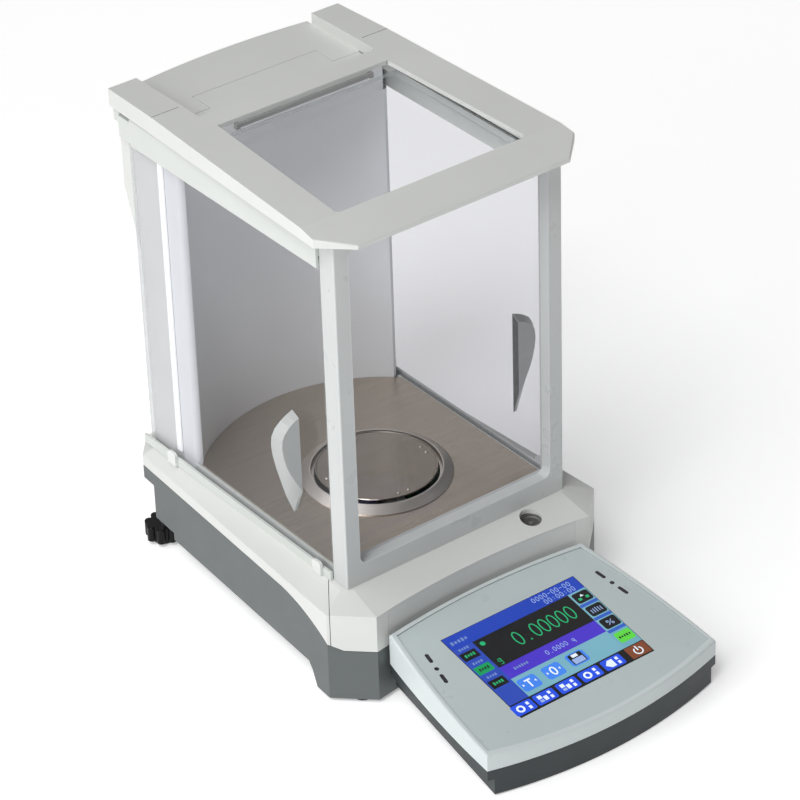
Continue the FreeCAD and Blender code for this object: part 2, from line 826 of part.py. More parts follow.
def make_front_frame():
    """One moulded frame round the front pane, with a deep sill."""
    body = new_body("frame")
    back = -(S.frame_y + S.frame_depth)
    half = S.frame_x
    hole = S.frame_x - S.frame_bar
    pad(body, "bars", "XZ", [rectangle(-half, S.deck, half, 357.2)], back, S.frame_depth)
    pocket(body, "light", "XZ", [rounded_rectangle(-hole, S.frame_sill, hole, S.frame_lintel,
                                                   6)], back - 1, 20)
    pocket(body, "rebate", "XZ", [rectangle(-88, S.frame_sill - 4, 88, S.frame_lintel + 4)],
           back - 1, 8.5)
    round_edges(body, "soft_corners", 1.2,
                lambda p: abs(abs(p.x) - DIMENSIONS["frame_x"]) < 1e-4)
    piece(body, "front_frame")
    pane = along_y("pane", [rectangle(-87.8, S.frame_sill - 3.8, 87.8, S.frame_lintel + 3.8)],
                   S.frame_y + 8.6, S.frame_y + 8.6 + S.glass)
    piece(pane, "front_glass")


def make_side_door(side, name):
    """A clear pane with a bonded finger grip; it slides to the rear."""
    low = side * S.door_x - S.glass / 2
    pane = box(f"{name}_pane", low, S.door_front, S.door_bottom, S.glass,
               S.door_rear - S.door_front, S.door_top - S.door_bottom)
    piece(pane, f"{name}_door_glass")
    sections = []
    for number, (y, profile) in enumerate(((9.2, HANDLE_BACK), (1.8, HANDLE_FRONT))):
        sketch = DOC.addObject("Sketcher::SketchObject", f"{name}_handle{number}")
        sketch.Placement.Rotation = PLANES["XZ"]
        face = S.door_x + S.glass / 2
        draw(sketch, [mirrored(side, [(face + reach, z) for reach, z in profile])])
        bind(sketch, "Placement.Base.y", y)
        sections.append(sketch)
    grip = DOC.addObject("Part::Loft", f"{name}_handle")
    grip.Sections = sections
    grip.Solid = True
    grip.Ruled = True
    piece(grip, f"{name}_door_handle")


# outlines of the finger grip: reach out from the glass and height
HANDLE_BACK = [(0, 117.2), (2.8, 117.4), (8.6, 132.6), (12.6, 147), (15.6, 158.4),
               (18.0, 170), (18.9, 179), (18.2, 185.6), (15.4, 190.8), (10.2, 195), (4.6, 198),
               (0, 199.8)]
HANDLE_FRONT = [(0, 136.5), (1.0, 138.6), (5.6, 147), (9.4, 154.6), (12.0, 161.6),
                (14.2, 170.6), (15.0, 178), (14.4, 184), (12.0, 188.4), (8.0, 192.4),
                (3.6, 195), (0, 196.4)]


def make_top_door():
    """The pane over the chamber; it slides to the rear under the recessed plate."""
    pane = box("top_pane", -89.3, S.frame_y + S.frame_depth + 0.6, S.ledge + 0.2, 178.6, 148,
               S.glass)
    piece(pane, "top_door_glass")
    body = new_body("top_grip")
    top = S.ledge + 0.2 + S.glass
    pad(body, "strip", "YZ", [[(-28.6, top), (-23, top), (-24, top + 3.2), (-27.6, top + 3.2)]],
        0, 60, symmetric=True)
    round_edges(body, "soft_grip", 0.7, lambda p: p.z > 355)
    piece(body, "top_door_grip")


def make_column():
    """The rear column: a round-backed chamber wall, a rear cover and a closing cap."""
    half = S.column_x
    joint = S.column_joint
    front_y, front_bow = round_back(86, S.chamber_radius)
    back_y, back_bow = round_back(84, S.chamber_radius + S.wall)
    wall = new_body("column_wall")
    pad(wall, "section", "XY", [[
        (-half, joint), (-half, S.column_front + 4, 1.7), (-86, front_y, -front_bow),
        (86, front_y, 1.7), (half, S.column_front + 4), (half, joint),
        (half - 3, joint), (half - 3, 147), (84, back_y, back_bow), (-84, back_y),
        (-half + 3, 147), (-half + 3, joint)]], S.deck, S.upper_rail - 0.5 - S.deck)
    piece(wall, "column_front")
    low = column_cover_outline(0, 0)
    high = column_cover_outline(0, 10)
    flare_start = 240
    flare_end = 286
    outer = fuse("cover_outer",
                 prism("cover_low", "XY", [low], S.deck, flare_start - S.deck),
                 loft("cover_flare", low, flare_start, high, flare_end),
                 prism("cover_high", "XY", [high], flare_end, S.upper_rail - 0.5 - flare_end))
    inner = prism("cover_hollow", "XY", [column_cover_outline(3, 0, 150)], 70, 290)
    piece(cut("cover_shell", outer, inner), "column_back_cover")
    cap_half = 85.5
    cap_y, cap_bow = round_back(cap_half, S.chamber_radius)
    cap = prism("cap", "XY", [[
        (-cap_half, cap_y, -cap_bow), (cap_half, cap_y), (cap_half, 200), (76, 208, 4),
        (-76, 208), (-cap_half, 200)]], S.upper_rail - 0.4, S.ledge - S.upper_rail + 0.2)
    piece(cap, "column_cap")


def column_cover_outline(inset, flare, front=156.3):
    """Plan of the rear cover: bevelled front edges, round corners and a bowed back."""
    side = S.column_x + 1.5 - inset
    corner = 75 + 3.0 * (flare / 8) - 0.4 * inset
    rear = 203 + flare - inset
    return [(-(side - 1.3), front), (side - 1.3, front), (side, front + 6.7),
            (side, rear - 13 + flare / 2, 2.6), (corner, rear, 4.6), (-corner, rear, 2.6),
            (-side, rear - 13 + flare / 2), (-side, front + 6.7)]


# ---------------------------------------------------------------- top cover


def cover_outline(inset=0):
    """The top cover's plan: chamfered front corners, sides that taper to the rear."""
    slant = 0.414 * as_size(inset)
    return [
        (-(88.1 - slant), S.cover_front + inset),
        (88.1 - slant, S.cover_front + inset),
        (109 - inset, -43.6 + slant),
        (100.6 - inset, 151.6),
        (98.5 - inset, S.cover_rear),
        (-(98.5 - inset), S.cover_rear),
        (-(100.6 - inset), 151.6),
        (-(109 - inset), -43.6 + slant),
    ]


def cover_top_line(drop, far_z):
    """Side view (Y, Z) of the cover's top surface, lowered by drop and closed at far_z."""
    crest = S.cover_height - drop
    return [(-80, far_z), (-80, crest - 11), (S.cover_front, crest - 8.4),
            (S.opening_front, crest - 2.8), (151.6, crest), (225, crest - 1.2), (225, far_z)]


SEAM_SHAPE = [(-75, 151), (-52.2, 151), (-52.2, 172.2), (52.2, 172.2), (52.2, 151), (75, 151)]


def make_top_cover():
    """Light grey cover with the loading opening and a recess behind it."""
    plan = prism("lid_plan", "XY", [cover_outline()], 345, 30)
    above = prism("lid_above", "YZ", [list(reversed(cover_top_line(0, 385)))], 0, 300,
                  symmetric=True)
    below = prism("lid_below", "YZ", [[(-80, 340), (225, 340), (225, S.cover_bottom),
                                       (-80, S.cover_bottom + 3.4)]], 0, 300, symmetric=True)
    solid = fillet("lid_soft", cut("lid_solid", plan, above, below), 1.2, on_cover_rim)
    hollow = common("lid_hollow", prism("lid_inner_plan", "XY", [cover_outline(3)], 340, 40),
                    prism("lid_ceiling", "YZ", [cover_top_line(S.cover_skin, 335)], 0, 300,
                          symmetric=True))
    opening = prism("lid_opening", "XY", [[
        (-78.9 + 4, S.opening_front), (78.9 - 4, S.opening_front, 1.17),
        (78.9, S.opening_front + 4), (72.0, S.opening_rear), (-72.0, S.opening_rear),
        (-78.9, S.opening_front + 4, 1.17)]], 330, 60)
    recess = prism("lid_recess", "YZ", [[
        (131, 368), (139, S.recess_floor), (230, S.recess_floor), (230, 368)]], 0,
        2 * S.recess_x, symmetric=True)
    floor_low = S.recess_floor - S.recess_plate
    block = common("lid_block", solid, box("lid_block_box", -78, 128, floor_low, 156, 90, 20))
    behind = prism("lid_behind_seam", "XY", [SEAM_SHAPE + [(75, 230), (-75, 230)]],
                   floor_low - 2, 5)
    block = cut("lid_recess_floor", block, recess, behind)
    crease = box("lid_crease", -120, 151.35, S.cover_height - 0.5, 240, 0.5, 2)
    shell = cut("lid_shell", solid, hollow, opening, recess, crease)
    bosses = [cylinder(f"lid_boss{number}", x, y, 357, 2.6, 5)
              for number, (x, y) in enumerate(((-92.3, 10), (92.3, 10), (-92.3, 118),
                                               (92.3, 118)))]
    piece(fuse("lid", shell, block, *bosses), "top_cover")


def on_cover_rim(point):
    """True on the front edges of the cover's top surface."""
    return point.y < -43.5 and point.z > 356


def make_recess_plate():
    """The plate that closes the cover's recess behind the stepped seam."""
    gap = 0.45
    outline = [(-75, 151 + gap), (-52.2 - gap, 151 + gap), (-52.2 - gap, 172.2 + gap),
               (52.2 + gap, 172.2 + gap), (52.2 + gap, 151 + gap), (75, 151 + gap),
               (75, 212.6, 5), (-75, 212.6)]
    plate = prism("rear_plate", "XY", [outline], S.recess_floor - S.recess_plate,
                  S.recess_plate)
    piece(plate, "top_rear_plate")
    bar = box("seal_bar", -58, 111.6, 359.2, 116, 2.6, 2.9)
    ends = [box(f"seal_end{number}", x, 111.6, 358.2, 3, 3.4, 4) for number, x in
            enumerate((-58, 55))]
    piece(fuse("seal", bar, *ends), "top_seal_strip")


# ---------------------------------------------------------------- console


RIM = (56.0, 34.6)
JOINT = (31.0, 22.0)
LIP = (23.0, 14.0)
UNDERSIDE = (10.0, 1.25)


def lowered(plane, drop):
    return (plane[0] - drop, plane[1] - drop)


def console_slice(name, inset, top, bottom):
    plan = prism(name + "_plan", "XY", [console_outline(inset)], -20, 110)
    band = prism(name + "_band", "YZ", [console_band(top, bottom)], 0, 260, symmetric=True)
    return common(name, plan, band)


def sensor_slots(grow):
    """Two rows of an oval, a dot and an oval, drawn on the flat console face."""
    shapes = []
    radius = 1.45 + grow
    lean = math.radians(9)
    for side in (-1, 1):
        way = VECTOR(side * math.sin(lean), -math.cos(lean), 0)
        across = VECTOR(-way.y, way.x, 0) * radius
        for x, y in ((76.0, -32.6), (79.3, -53.4)):
            centre = VECTOR(side * x, y, 0)
            ends = (centre - way * 3.1, centre + way * 3.1)
            shapes.append([
                (ends[0].x - across.x, ends[0].y - across.y),
                (ends[1].x - across.x, ends[1].y - across.y, radius * 0.999),
                (ends[1].x + across.x, ends[1].y + across.y),
                (ends[0].x + across.x, ends[0].y + across.y, radius * 0.999)])
        shapes.append((side * 77.7, -43.4, 1.7 + grow))
    return shapes


def tilted_prism(name, shapes, start, length):
    solid = prism(name, "XY", shapes, start, length)
    tilt_to_console(solid)
    return solid


def window_outline(grow):
    half = S.screen_width / 2 + grow
    depth = S.screen_depth / 2 + grow
    return rectangle(-half, S.screen_y - depth, half, S.screen_y + depth)


def make_console():
    """Tilted operator console: top shell, face sheet, touch screen and grey tray."""
    outer = console_slice("desk_outer", 0, RIM, JOINT)
    inner = console_slice("desk_inner", S.console_wall, lowered(RIM, 4.2), lowered(JOINT, 5))
    recess = console_slice("desk_recess", 3.6, lowered(RIM, -9), lowered(RIM, 1.5))
    window = tilted_prism("desk_window", [window_outline(1.0)], -8, 16)
    slots = tilted_prism("desk_slots", sensor_slots(0.05), -8, 16)
    shell = cut("desk_shell", outer, inner)
    shell = fillet("desk_soft", shell, 1.6, lambda p: p.z > RIM[1] - 3 + (
        p.y - DIMENSIONS["console_front_y"]) * (RIM[0] - RIM[1]) / 125.4)
    piece(cut("desk_top", shell, recess, window, slots), "console_top_shell")
    sheet = console_slice("face_sheet", 3.8, lowered(RIM, 0.9), lowered(RIM, 1.5))
    frame = tilted_prism("face_window", [window_outline(0.1)], -8, 16)
    holes = tilted_prism("face_slots", sensor_slots(0.05), -8, 16)
    piece(cut("face", sheet, frame, holes), "console_face_sheet")
    lip = console_slice("tub_lip", 0, lowered(JOINT, 0.3), LIP)
    narrow = prism("tub_sides", "XY", [[(-78.1, -60), (-99, -230), (99, -230), (78.1, -60)]],
                   -5, 60)
    tub = common("tub_narrow", console_slice("tub_body", 0, lowered(JOINT, 0.3), UNDERSIDE),
                 narrow)
    hollow = console_slice("tub_hollow", 7.4, lowered(JOINT, -6), lowered(UNDERSIDE, -2.5))
    piece(cut("tub", fuse("tub_solid", lip, tub), hollow), "console_bottom_shell")
    piece(tilted_prism("glass_sheet", [window_outline(0)], -2.0, 1.2), "touch_panel")
    piece(tilted_prism("display", [window_outline(0.4)], -6.6, 4.5), "display_module")
    board = [rectangle(-66, S.screen_y - 38, 66, S.screen_y + 38)]
    piece(tilted_prism("console_pcb", board, -10.2, 1.6), "console_board")
    piece(tilted_prism("sensor_lenses", sensor_slots(0), -3.6, 2.6), "ir_sensor_windows")


def make_console_supports():
    """Rubber feet cut to the sloping underside, and the steel strap to the base."""
    feet = []
    for number, (x, y) in enumerate(((-80, -188), (80, -188), (-66, -96), (66, -96))):
        post = cylinder(f"desk_foot{number}", x, y, 0, 6, 14)
        above = prism(f"desk_foot_cut{number}", "YZ", [console_band((60, 60), UNDERSIDE)],
                      0, 260, symmetric=True)
        feet.append(cut(f"desk_foot_end{number}", post, above))
    piece(group("desk_feet", *feet), "console_feet")
    strap = prism("strap", "YZ", [[
        (-118, 4.0), (-23.5, 4.0), (-23.5, 17.6), (8, 17.6), (8, S.belly), (-26, S.belly),
        (-26, 6.4), (-118, 6.4)]], 0, 44, symmetric=True)
    piece(strap, "console_strap")


# ---------------------------------------------------------------- build and write


def check_document():
    """Stop if any object failed or any finished piece is empty or broken."""
    for item in DOC.Objects:
        bad = [word for word in item.State if word in ("Invalid", "Error")]
        if bad:
            raise RuntimeError(f"{item.Name} ({item.Label}) is {bad}")
    for item in PIECES:
        if item.Shape.isNull() or not item.Shape.isValid() or not item.Shape.Solids:
            raise RuntimeError(f"{item.Label} has a bad shape")


def write_pieces():
    os.makedirs("parts", exist_ok=True)
    whole = FreeCAD.BoundBox()
    for item in PIECES:
        item.Shape.exportStep(os.path.join("parts", item.Label + ".step"))
        whole.add(item.Shape.BoundBox)
    print(f"{len(PIECES)} pieces, X {whole.XMin:.1f} {whole.XMax:.1f}, "
          f"Y {whole.YMin:.1f} {whole.YMax:.1f}, Z {whole.ZMin:.1f} {whole.ZMax:.1f}")


make_lower_housing()
make_upper_housing()
make_front_panel()
make_front_feet()
make_housing_screws()
make_floor_plate()
make_draft_ring()
make_pan()
make_weighing_cell()
make_electronics()
make_level_vial()
make_front_frame()
for SIDE, NAME in ((-1, "left"), (1, "right")):
    make_levelling_foot(SIDE, NAME)
    make_rails(SIDE, NAME)
    make_side_door(SIDE, NAME)
make_top_door()
make_column()
make_top_cover()
make_recess_plate()
make_console()
make_console_supports()
DOC.recompute()
check_document()
write_pieces()
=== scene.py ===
import math

import bmesh
import bpy
from mathutils import Matrix, Vector


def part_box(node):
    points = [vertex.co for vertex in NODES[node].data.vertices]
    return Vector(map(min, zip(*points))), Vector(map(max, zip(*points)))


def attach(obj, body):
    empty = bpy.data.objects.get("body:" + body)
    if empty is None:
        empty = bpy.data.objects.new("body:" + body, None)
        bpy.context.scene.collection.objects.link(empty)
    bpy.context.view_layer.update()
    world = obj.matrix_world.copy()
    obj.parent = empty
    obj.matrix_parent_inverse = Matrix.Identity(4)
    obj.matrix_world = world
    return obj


# Looks for the analytical balance: materials, soft edges and small parts around the CAD frame.

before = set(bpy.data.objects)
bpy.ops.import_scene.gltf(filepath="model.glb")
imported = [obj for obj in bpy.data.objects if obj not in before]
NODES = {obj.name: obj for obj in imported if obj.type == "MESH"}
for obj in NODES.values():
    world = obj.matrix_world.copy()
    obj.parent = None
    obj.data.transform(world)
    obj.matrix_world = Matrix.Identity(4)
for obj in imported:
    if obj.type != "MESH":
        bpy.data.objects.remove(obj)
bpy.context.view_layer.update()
MM = 0.001
FINE_RELIEF = 0.2 * MM    # depth of the finest surface relief
EDGE_WEAR_AND_HIGHLIGHT = 1.2 * MM      # how far an edge's lightening reaches: partly wear, partly painted highlight
GROOVE = 1.6 * MM         # how far the painted shade reaches into a groove


def middle(node):
    """The middle of a node's box, as seen from above."""
    low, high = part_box(node)
    return (low[0] + high[0]) / 2, (low[1] + high[1]) / 2


# ---------------------------------------------------------------- shader helpers


class Shader:
    """A node material that is built with short calls."""

    # the colour sockets of a Mix node
    MIX_FIRST = 6
    MIX_SECOND = 7
    MIX_RESULT = 2

    def __init__(self, name):
        self.material = bpy.data.materials.new(name)
        self.material.use_nodes = True
        self.tree = self.material.node_tree
        self.tree.nodes.clear()
        self.output = self.tree.nodes.new("ShaderNodeOutputMaterial")

    def add(self, kind, **settings):
        node = self.tree.nodes.new(kind)
        for key, value in settings.items():
            if hasattr(node, key):
                setattr(node, key, value)
            else:
                self.feed(node.inputs[key.replace("_", " ")], value)
        return node

    def feed(self, socket, value):
        if isinstance(value, bpy.types.NodeSocket):
            self.tree.links.new(value, socket)
        elif isinstance(value, (tuple, list)) and socket.type == "RGBA" and len(value) == 3:
            socket.default_value = (*value, 1.0)
        else:
            socket.default_value = value

    def place(self, scale=(1, 1, 1)):
        """Object coordinates, scaled, so a pattern stays on its piece as it moves."""
        coordinates = self.add("ShaderNodeTexCoord")
        mapping = self.add("ShaderNodeMapping", Vector=coordinates.outputs["Object"],
                           Scale=scale)
        return mapping.outputs["Vector"]

    def noise(self, vector, scale, detail=3.0, roughness=0.55):
        node = self.add("ShaderNodeTexNoise", Vector=vector, Scale=scale, Detail=detail,
                        Roughness=roughness)
        return node.outputs["Fac"]

    def ramp(self, value, stops):
        """A value or colour that runs between stops of (position, colour)."""
        node = self.add("ShaderNodeValToRGB", Fac=value)
        elements = node.color_ramp.elements
        while len(elements) < len(stops):
            elements.new(0.5)
        for element, (position, color) in zip(elements, stops):
            element.position = position
            if isinstance(color, (int, float)):
                color = (color, color, color)
            element.color = (*color, 1.0)
        return node.outputs["Color"]

    def math(self, kind, first, second=0.0):
        node = self.add("ShaderNodeMath", operation=kind)
        self.feed(node.inputs[0], first)
        self.feed(node.inputs[1], second)
        return node.outputs[0]

    def mix(self, factor, first, second):
        node = self.add("ShaderNodeMix", data_type="RGBA")
        self.feed(node.inputs[0], factor)
        self.feed(node.inputs[self.MIX_FIRST], first)
        self.feed(node.inputs[self.MIX_SECOND], second)
        return node.outputs[self.MIX_RESULT]

    def blend(self, factor, share, base, color):
        """The base colour with up to a share of another colour laid over it."""
        return self.mix(self.math("MULTIPLY", factor, share), base, color)

    def bump(self, height, strength, distance=FINE_RELIEF):
        node = self.add("ShaderNodeBump", Strength=strength, Distance=distance, Height=height)
        return node.outputs["Normal"]

    def edge_wear_and_highlight(self, radius):
        """Lighter edges, partly wear and partly painted highlight: 0 on flat faces and 1 at an
        edge, where the rounded normal leaves the true one.
        """
        bevel = self.add("ShaderNodeBevel", Radius=radius, samples=4)
        geometry = self.add("ShaderNodeNewGeometry")
        dot = self.add("ShaderNodeVectorMath", operation="DOT_PRODUCT")
        self.feed(dot.inputs[0], bevel.outputs["Normal"])
        self.feed(dot.inputs[1], geometry.outputs["Normal"])
        return self.ramp(dot.outputs["Value"], [(0.90, 1.0), (0.995, 0.0)])

    def paint_groove_shade(self, base):
        """Painted shade: the colour darkened by ambient occlusion inside the piece's own narrow
        grooves.
        """
        shade = self.add("ShaderNodeAmbientOcclusion", Distance=GROOVE, samples=6,
                         only_local=True)
        opened = self.math("POWER", shade.outputs["AO"], 1.6)
        return self.mix(opened, (0.02, 0.021, 0.02), base)

    def surface(self, **settings):
        node = self.add("ShaderNodeBsdfPrincipled", **settings)
        self.tree.links.new(node.outputs["BSDF"], self.output.inputs["Surface"])
        return self.material


def tint(color, amount):
    """A lighter or darker version of a colour."""
    return tuple(max(0.0, min(1.0, channel * amount)) for channel in color)


def moulded(name, color, rough=0.42, grain=2600.0, depth=0.05, edge=1.12, gloss=0.45,
            groove_shade=True):
    """Moulded or powder-coated shell: fine grain, faint mottling, lighter edges that are partly
    wear and partly painted highlight, and painted shade in grooves.
    """
    s = Shader(name)
    where = s.place()
    mottle = s.noise(where, 9.0, 4.0)
    base = s.mix(s.ramp(mottle, [(0.3, 0.0), (0.75, 1.0)]), tint(color, 0.965),
                 tint(color, 1.03))
    dust = s.ramp(s.noise(where, 900.0, 2.0), [(0.62, 0.0), (0.74, 1.0)])
    base = s.blend(dust, 0.03, base, tint(color, 0.80))
    # lighter edges: partly wear, partly a painted highlight; edge sets how light, most on the
    # frame and the black plastic
    base = s.blend(s.edge_wear_and_highlight(EDGE_WEAR_AND_HIGHLIGHT), 0.35, base, tint(color, edge))
    # painted shade: ambient occlusion darkens the piece's own narrow grooves and creases
    if groove_shade:
        base = s.paint_groove_shade(base)
    fine = s.noise(where, grain, 2.0, 0.6)
    coarse = s.noise(where, 55.0, 3.0)
    roughness = s.math("ADD", s.math("MULTIPLY", coarse, 0.16), rough - 0.08)
    normal = s.bump(fine, depth * 3)
    return s.surface(Base_Color=base, Roughness=roughness, Normal=normal,
                     **{"Specular IOR Level": gloss})


def streaked(axis, along, across):
    """A pattern scale that is coarse along one axis and fine across it."""
    return tuple(along if letter == axis else across for letter in "xyz")


def brushed(name, color, axis, rough, streak=0.35):
    """Brushed metal with long hair lines along one axis, broad bands and smudges."""
    s = Shader(name)
    hair = s.noise(s.place(streaked(axis, 18.0, 2200.0)), 1.0, 4.0, 0.7)
    bands = s.noise(s.place(streaked(axis, 3.0, 160.0)), 1.0, 3.0, 0.6)
    smudge = s.noise(s.place(), 14.0, 5.0, 0.6)
    base = s.mix(s.ramp(hair, [(0.35, 0.0), (0.65, 1.0)]), tint(color, 1.0 - streak * 0.5),
                 tint(color, 1.0 + streak * 0.5))
    base = s.blend(s.ramp(bands, [(0.35, 0.0), (0.65, 1.0)]), 0.35, base, tint(color, 0.86))
    base = s.blend(s.ramp(smudge, [(0.45, 0.0), (0.7, 1.0)]), 0.25, base, tint(color, 0.82))
    roughness = s.math("ADD", s.math("MULTIPLY", hair, 0.18), rough - 0.09)
    roughness = s.math("ADD", roughness, s.math("MULTIPLY", smudge, 0.12))
    normal = s.bump(hair, 0.14)
    return s.surface(Base_Color=base, Metallic=1.0, Roughness=roughness, Normal=normal)


def turned_steel(name, color, centre, rough, line=0.05):
    """Lathe-turned steel: faint rings about an upright axis at centre, with soft smears."""
    s = Shader(name)
    coordinates = s.add("ShaderNodeTexCoord")
    offset = s.add("ShaderNodeVectorMath", operation="SUBTRACT")
    s.feed(offset.inputs[0], coordinates.outputs["Object"])
    offset.inputs[1].default_value = centre
    parts = s.add("ShaderNodeSeparateXYZ", Vector=offset.outputs[0])
    radius = s.math("SQRT", s.math("ADD", s.math("POWER", parts.outputs[0], 2.0),
                                   s.math("POWER", parts.outputs[1], 2.0)))
    angle = s.math("ARCTAN2", parts.outputs[1], parts.outputs[0])
    joined = s.add("ShaderNodeCombineXYZ", X=s.math("MULTIPLY", radius, 3800.0),
                   Y=s.math("MULTIPLY", angle, 1.2), Z=s.math("MULTIPLY", parts.outputs[2], 300.0))
    rings = s.noise(joined.outputs[0], 1.0, 3.0, 0.65)
    smudge = s.noise(s.place(), 26.0, 5.0, 0.6)
    base = s.mix(s.ramp(rings, [(0.35, 0.0), (0.65, 1.0)]), tint(color, 1.0 - line),
                 tint(color, 1.0 + line))
    base = s.blend(s.ramp(smudge, [(0.42, 0.0), (0.72, 1.0)]), 0.45, base, tint(color, 0.80))
    roughness = s.math("ADD", s.math("MULTIPLY", smudge, 0.18), rough - 0.07)
    normal = s.bump(rings, 0.06)
    return s.surface(Base_Color=base, Metallic=1.0, Roughness=roughness, Normal=normal)


def pane(name, axis):
    """Thin clear glass: faintly tinted faces, a light sheen and pale ground edges.

    Its faces look along axis. Light passes two faces, so each takes the root of the pane's tone.
    """
    tone = (0.90, 0.90, 0.918)
    edge = (0.62, 0.66, 0.66)
    s = Shader(name)
    geometry = s.add("ShaderNodeNewGeometry")
    parts = s.add("ShaderNodeSeparateXYZ", Vector=geometry.outputs["True Normal"])
    flat = s.math("ABSOLUTE", parts.outputs["XYZ".index(axis)])
    face = s.ramp(flat, [(0.45, 0.0), (0.6, 1.0)])
    smear = s.noise(s.place(), 18.0, 5.0, 0.6)
    haze = s.math("MULTIPLY", s.ramp(smear, [(0.5, 0.0), (0.8, 1.0)]), 0.006)
    once = tuple(math.sqrt(channel) for channel in tone)
    clear = s.add("ShaderNodeBsdfTransparent", Color=once)
    gloss = s.add("ShaderNodeBsdfGlossy", Color=(0.95, 0.95, 0.96), Roughness=0.02)
    fresnel = s.add("ShaderNodeFresnel", IOR=1.45)
    entering = s.math("SUBTRACT", 1.0, geometry.outputs["Backfacing"])
    sheen = s.math("MULTIPLY", s.math("ADD", s.math("MULTIPLY", fresnel.outputs[0], 0.45), haze),
                   entering)
    thin = s.add("ShaderNodeMixShader", Fac=sheen)
    s.tree.links.new(clear.outputs[0], thin.inputs[1])
    s.tree.links.new(gloss.outputs[0], thin.inputs[2])
    ground = s.add("ShaderNodeBsdfPrincipled", Base_Color=edge, Roughness=0.35, Alpha=0.45)
    both = s.add("ShaderNodeMixShader", Fac=face)
    s.tree.links.new(ground.outputs[0], both.inputs[1])
    s.tree.links.new(thin.outputs[0], both.inputs[2])
    s.tree.links.new(both.outputs[0], s.output.inputs["Surface"])
    return s.material


def rubber(name):
    """Matt black rubber with a little pale dust."""
    color = (0.018, 0.018, 0.019)
    s = Shader(name)
    where = s.place()
    fine = s.noise(where, 900.0, 3.0)
    dust = s.ramp(s.noise(where, 60.0, 4.0), [(0.5, 0.0), (0.75, 1.0)])
    base = s.blend(dust, 0.3, color, (0.09, 0.09, 0.088))
    return s.surface(Base_Color=base, Roughness=0.72, Normal=s.bump(fine, 0.25))


def board(name):
    """Solder-masked circuit board with faint tracks."""
    s = Shader(name)
    tracks = s.add("ShaderNodeTexBrick", Vector=s.place((160.0, 160.0, 160.0)), Scale=1.0,
                   Color1=(0.012, 0.11, 0.045), Color2=(0.016, 0.14, 0.06),
                   Mortar=(0.05, 0.23, 0.10))
    return s.surface(Base_Color=tracks.outputs["Color"], Roughness=0.4,
                     Normal=s.bump(tracks.outputs["Fac"], 0.2))


def lit(name, color, strength):
    """A lit area of the display: an even colour behind a fine dot grid."""
    s = Shader(name)
    grid = s.add("ShaderNodeTexChecker", Vector=s.place(), Scale=7000.0,
                 Color1=tint(color, 0.94), Color2=color)
    glow = s.noise(s.place(), 30.0, 2.0)
    shade = s.mix(s.ramp(glow, [(0.3, 0.0), (0.7, 1.0)]), grid.outputs["Color"],
                  tint(color, 0.90))
    return s.surface(Base_Color=tint(color, 0.35), Roughness=0.25,
                     **{"Emission Color": shade, "Emission Strength": strength})


# ---------------------------------------------------------------- materials on CAD nodes


# the pan and the draft ring were turned on the same upright axis
PAN_CENTRE = (*middle("weighing_pan"), 0)
MATERIALS = {
    "shell": moulded("shell_light_grey", (0.690, 0.700, 0.680)),
    "trim": moulded("trim_near_white", (0.74, 0.755, 0.745), rough=0.36),
    "grip": moulded("grip_grey", (0.46, 0.475, 0.47), rough=0.40),
    # the frame's strong edge lightening is mostly a painted highlight on its rounded edges
    "frame": moulded("frame_coated", (0.57, 0.59, 0.585), rough=0.30, edge=1.9),
    "rail": moulded("rail_coated", (0.63, 0.655, 0.63), rough=0.36, groove_shade=False),
    "vial": moulded("vial_grey_plastic", (0.13, 0.125, 0.115), rough=0.5),
    "column": moulded("column_white", (0.77, 0.785, 0.80), rough=0.45),
    "strip": moulded("seal_strip", (0.30, 0.305, 0.30), rough=0.5),
    "tray": moulded("tray_mid_grey", (0.112, 0.126, 0.126), rough=0.46, depth=0.08),
    "console": moulded("console_pale_grey", (0.63, 0.685, 0.69), rough=0.38),
    "sheet": moulded("console_face_sheet", (0.53, 0.60, 0.605), rough=0.30, grain=5200.0),
    "tub": moulded("console_tub_grey", (0.023, 0.031, 0.035), rough=0.45, depth=0.08),
    # the black plastic's strong edge lightening paints highlights on the knobs' edges
    "black": moulded("black_plastic", (0.006, 0.006, 0.0065), rough=0.30, edge=2.2, gloss=0.18),
    "floor": brushed("floor_brushed_steel", (0.56, 0.49, 0.415), "x", 0.24, 0.20),
    "pan": turned_steel("pan_turned_steel", (0.40, 0.35, 0.30), PAN_CENTRE, 0.20),
    "ring": turned_steel("ring_turned_steel", (0.88, 0.82, 0.76), PAN_CENTRE, 0.36, 0.08),
    "steel": brushed("machined_steel", (0.50, 0.50, 0.50), "z", 0.3),
    "alloy": brushed("cell_alloy", (0.62, 0.63, 0.64), "y", 0.36),
    "brass": brushed("bush_brass", (0.62, 0.45, 0.18), "z", 0.3),
    "rubber": rubber("foot_rubber"),
    "board": board("circuit_board"),
    "glass_x": pane("door_glass", "X"),
    "glass_y": pane("front_glass", "Y"),
    "glass_z": pane("top_glass", "Z"),
    "screen": lit("screen_base", (0.006, 0.007, 0.009), 0.4),
    "lens": moulded("sensor_window", (0.03, 0.026, 0.03), rough=0.12, edge=1.5),
}

